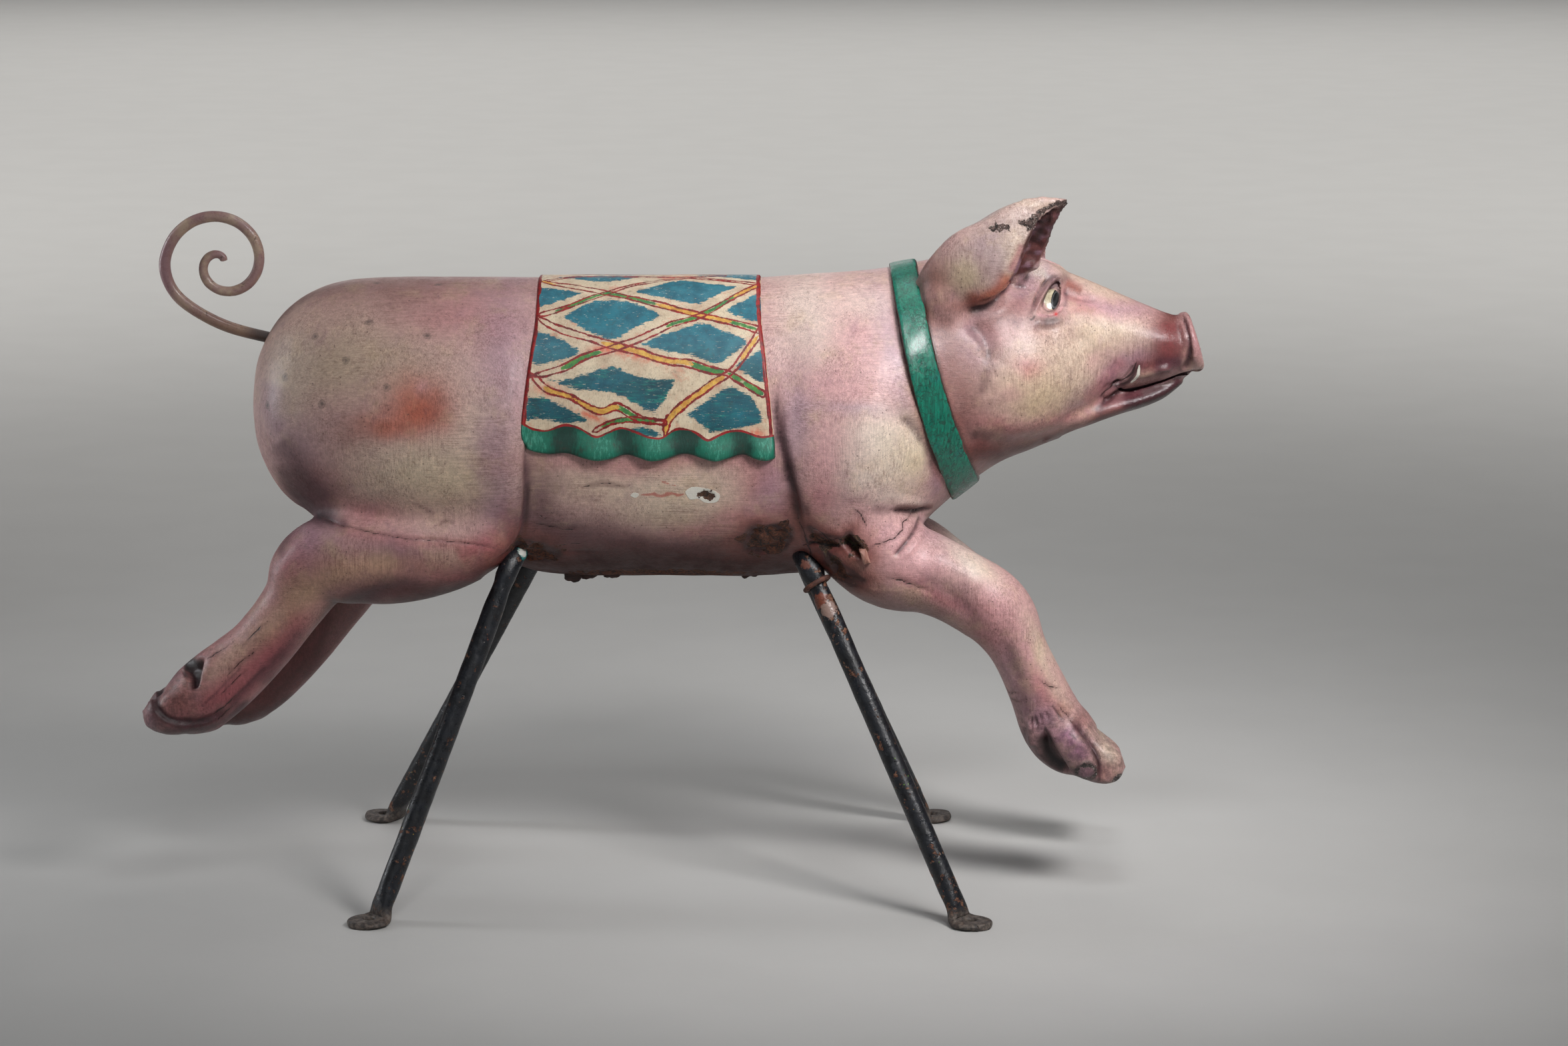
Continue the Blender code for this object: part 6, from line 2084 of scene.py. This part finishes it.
def plugMaterial():
    made = newMaterial("plug_wood")
    tone = mix(rise(fine(1.0, 5, 0.7, (400, 400, 90)), 0.36, 0.64), (176, 134, 120), (146, 98, 84))
    return finish(made, tone, 0.55, fine(1.0, 5, 0.7, (400, 400, 90)), 0.0008)


def floorMaterial():
    made = newMaterial("pale_floor")
    tone = mix(rise(fine(6, 2, 0.5), 0.3, 0.7), (192, 191, 188), (194, 193, 190))
    return finish(made, tone, 0.75, fine(60, 3), 0.0002)


def saveEye(made):
    # how far inside the iris each point lies, in millimetres, and how near the ball's edge
    shape = readShape(made)
    x = shape["co"][:, 0] - eyeBall["iris"][0]
    z = shape["co"][:, 2] - eyeBall["iris"][1]
    turn = math.radians(eyeBall["irisTilt"])
    wide, tall = eyeBall["irisRadii"]
    u = (x * math.cos(turn) - z * math.sin(turn)) / wide
    v = (z * math.cos(turn) + x * math.sin(turn)) / tall
    saveFields(made, iris=(1 - np.hypot(u, v)) * 5.6,
               rim=1 - areaDistance(shape, eyeOpening) * 400)


def splitPiece(made, x, name):
    # the part ahead of x becomes a piece of its own; shading runs on across the cut
    saveFields(made, shading=readShape(made)["no"])
    other = newObject(name, made.data.copy())
    for piece, sign in ((made, 1), (other, -1)):
        with editing(piece.data) as mesh:
            gone = [face for face in mesh.faces if (face.calc_center_median().x - x) * sign > 0]
            bmesh.ops.delete(mesh, geom=gone, context="FACES")
        normals = np.zeros(len(piece.data.vertices) * 3, np.float32)
        piece.data.attributes["shading"].data.foreach_get("vector", normals)
        piece.data.normals_split_custom_set_from_vertices(normals.reshape(-1, 3).tolist())
        piece.data.attributes.remove(piece.data.attributes["shading"])
    return other


paintBody(body)
frontBody = splitPiece(body, -0.045, "pig_body_front")
paintHead(head)
paintCloth(saddleCloth)
for eye in eyes:
    saveEye(eye)
report("painted fields")
for material, pieces in ((carvedPaintMaterial(), (body, frontBody, head)), (clothMaterial(), (saddleCloth,)),
                         (collarMaterial(), (collar,)), (tailMaterial(), (curlyTail,)),
                         (rustMaterial(), (link,)), (plugMaterial(), (plug,)), (eyeMaterial(), eyes),
                         (pipeMaterial(), (rearStand, frontStand)), (splinterMaterial(), splinters)):
    for piece in pieces:
        piece.data.materials.clear()
        piece.data.materials.append(material)
report("materials")


def makeStage():
    mesh = bpy.data.meshes.new("floor")
    reach = 40
    mesh.from_pydata([(-reach, -reach, 0), (reach, -reach, 0), (reach, reach, 0), (-reach, reach, 0)],
                     [], [(0, 1, 2, 3)])
    floor = newObject("floor", mesh)
    floor.location.z = -0.0005
    mesh.materials.append(floorMaterial())


def makeCamera():
    lens = bpy.data.cameras.new("camera")
    lens.lens = 100.1
    lens.sensor_width = 36
    camera = newObject("camera", lens)
    camera.location = (0.134, -5.324, 1.48)
    camera.rotation_euler = (math.radians(79), 0, 0)
    bpy.context.scene.camera = camera


lights = {
    # place, what it faces, width, height, spread in degrees, watts, colour
    "key": ((1.35, -1.5, 2.1), (0.5, -0.1, 0.7), 0.7, 0.7, 55, 6.2, (1.0, 0.98, 0.985)),
    "window": ((0.34, -1.3, 2.7), (0.25, -0.1, 0.65), 0.55, 0.55, 60, 1.6, (0.96, 0.98, 1.0)),
    "top": ((0.5, 0.5, 2.6), (0.3, 0.0, 0.6), 1.4, 1.0, 120, 4.6, (1.0, 0.985, 0.98)),
    "strip": ((-2.2, 0.25, 1.0), (-0.3, 0.0, 0.6), 0.25, 1.3, 120, 6.0, (0.93, 0.96, 1.0)),
    "back": ((-0.4, 3.6, 1.5), (0.0, 0.0, 0.55), 1.6, 1.6, 120, 3.0, (1.0, 0.98, 0.96)),
    "front": ((-0.6, -3.8, 1.8), (0.0, 0.0, 0.6), 1.8, 1.8, 120, 2.6, (0.95, 0.97, 1.0)),
}
floorLights = {"reach": 9.5, "height": 3.8, "size": 12.0, "spread": 110, "watts": 420}


def makeLights():
    rows = dict(lights)
    for i in range(4):
        # these only brighten the floor round about
        x = floorLights["reach"] * math.sin(i * math.pi / 2)
        y = floorLights["reach"] * math.cos(i * math.pi / 2)
        rows[f"floor_{i}"] = ((x, y, floorLights["height"]), (x, y, 0), floorLights["size"],
                              floorLights["size"], floorLights["spread"], floorLights["watts"],
                              (1.0, 0.98, 0.96))
    for name, (place, faced, width, height, spread, watts, colour) in rows.items():
        lamp = bpy.data.lights.new(name, "AREA")
        lamp.shape = "RECTANGLE"
        lamp.size = width
        lamp.size_y = height
        lamp.spread = math.radians(spread)
        lamp.energy = watts
        lamp.color = colour
        made = newObject(name, lamp)
        made.location = place
        made.rotation_euler = (Vector(faced) - Vector(place)).to_track_quat("-Z", "Y").to_euler()
    world = bpy.data.worlds.new("studio")
    bpy.context.scene.world = world
    world.use_nodes = True
    world.node_tree.nodes["Background"].inputs["Color"].default_value = (0.8, 0.85, 0.92, 1)
    world.node_tree.nodes["Background"].inputs["Strength"].default_value = 0.1
    bpy.context.scene.view_settings.view_transform = "Standard"


makeStage()
makeCamera()
makeLights()
finishes = {
    "painted_wood": [body, frontBody, head, saddleCloth, collar, plug, *eyes, *splinters],
    "black_pipe": [rearStand, frontStand],
    "painted_tail": [curlyTail],
    "rusty_iron": [link],
}
for name, pieces in finishes.items():
    for piece in pieces:
        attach(piece, "root")
for piece, node in ((body, "pig"), (rearStand, "rear_stand"), (frontStand, "front_stand"),
                    (curlyTail, "tail"), (link, "iron_ring")):
    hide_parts(node)
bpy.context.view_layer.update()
report("done")
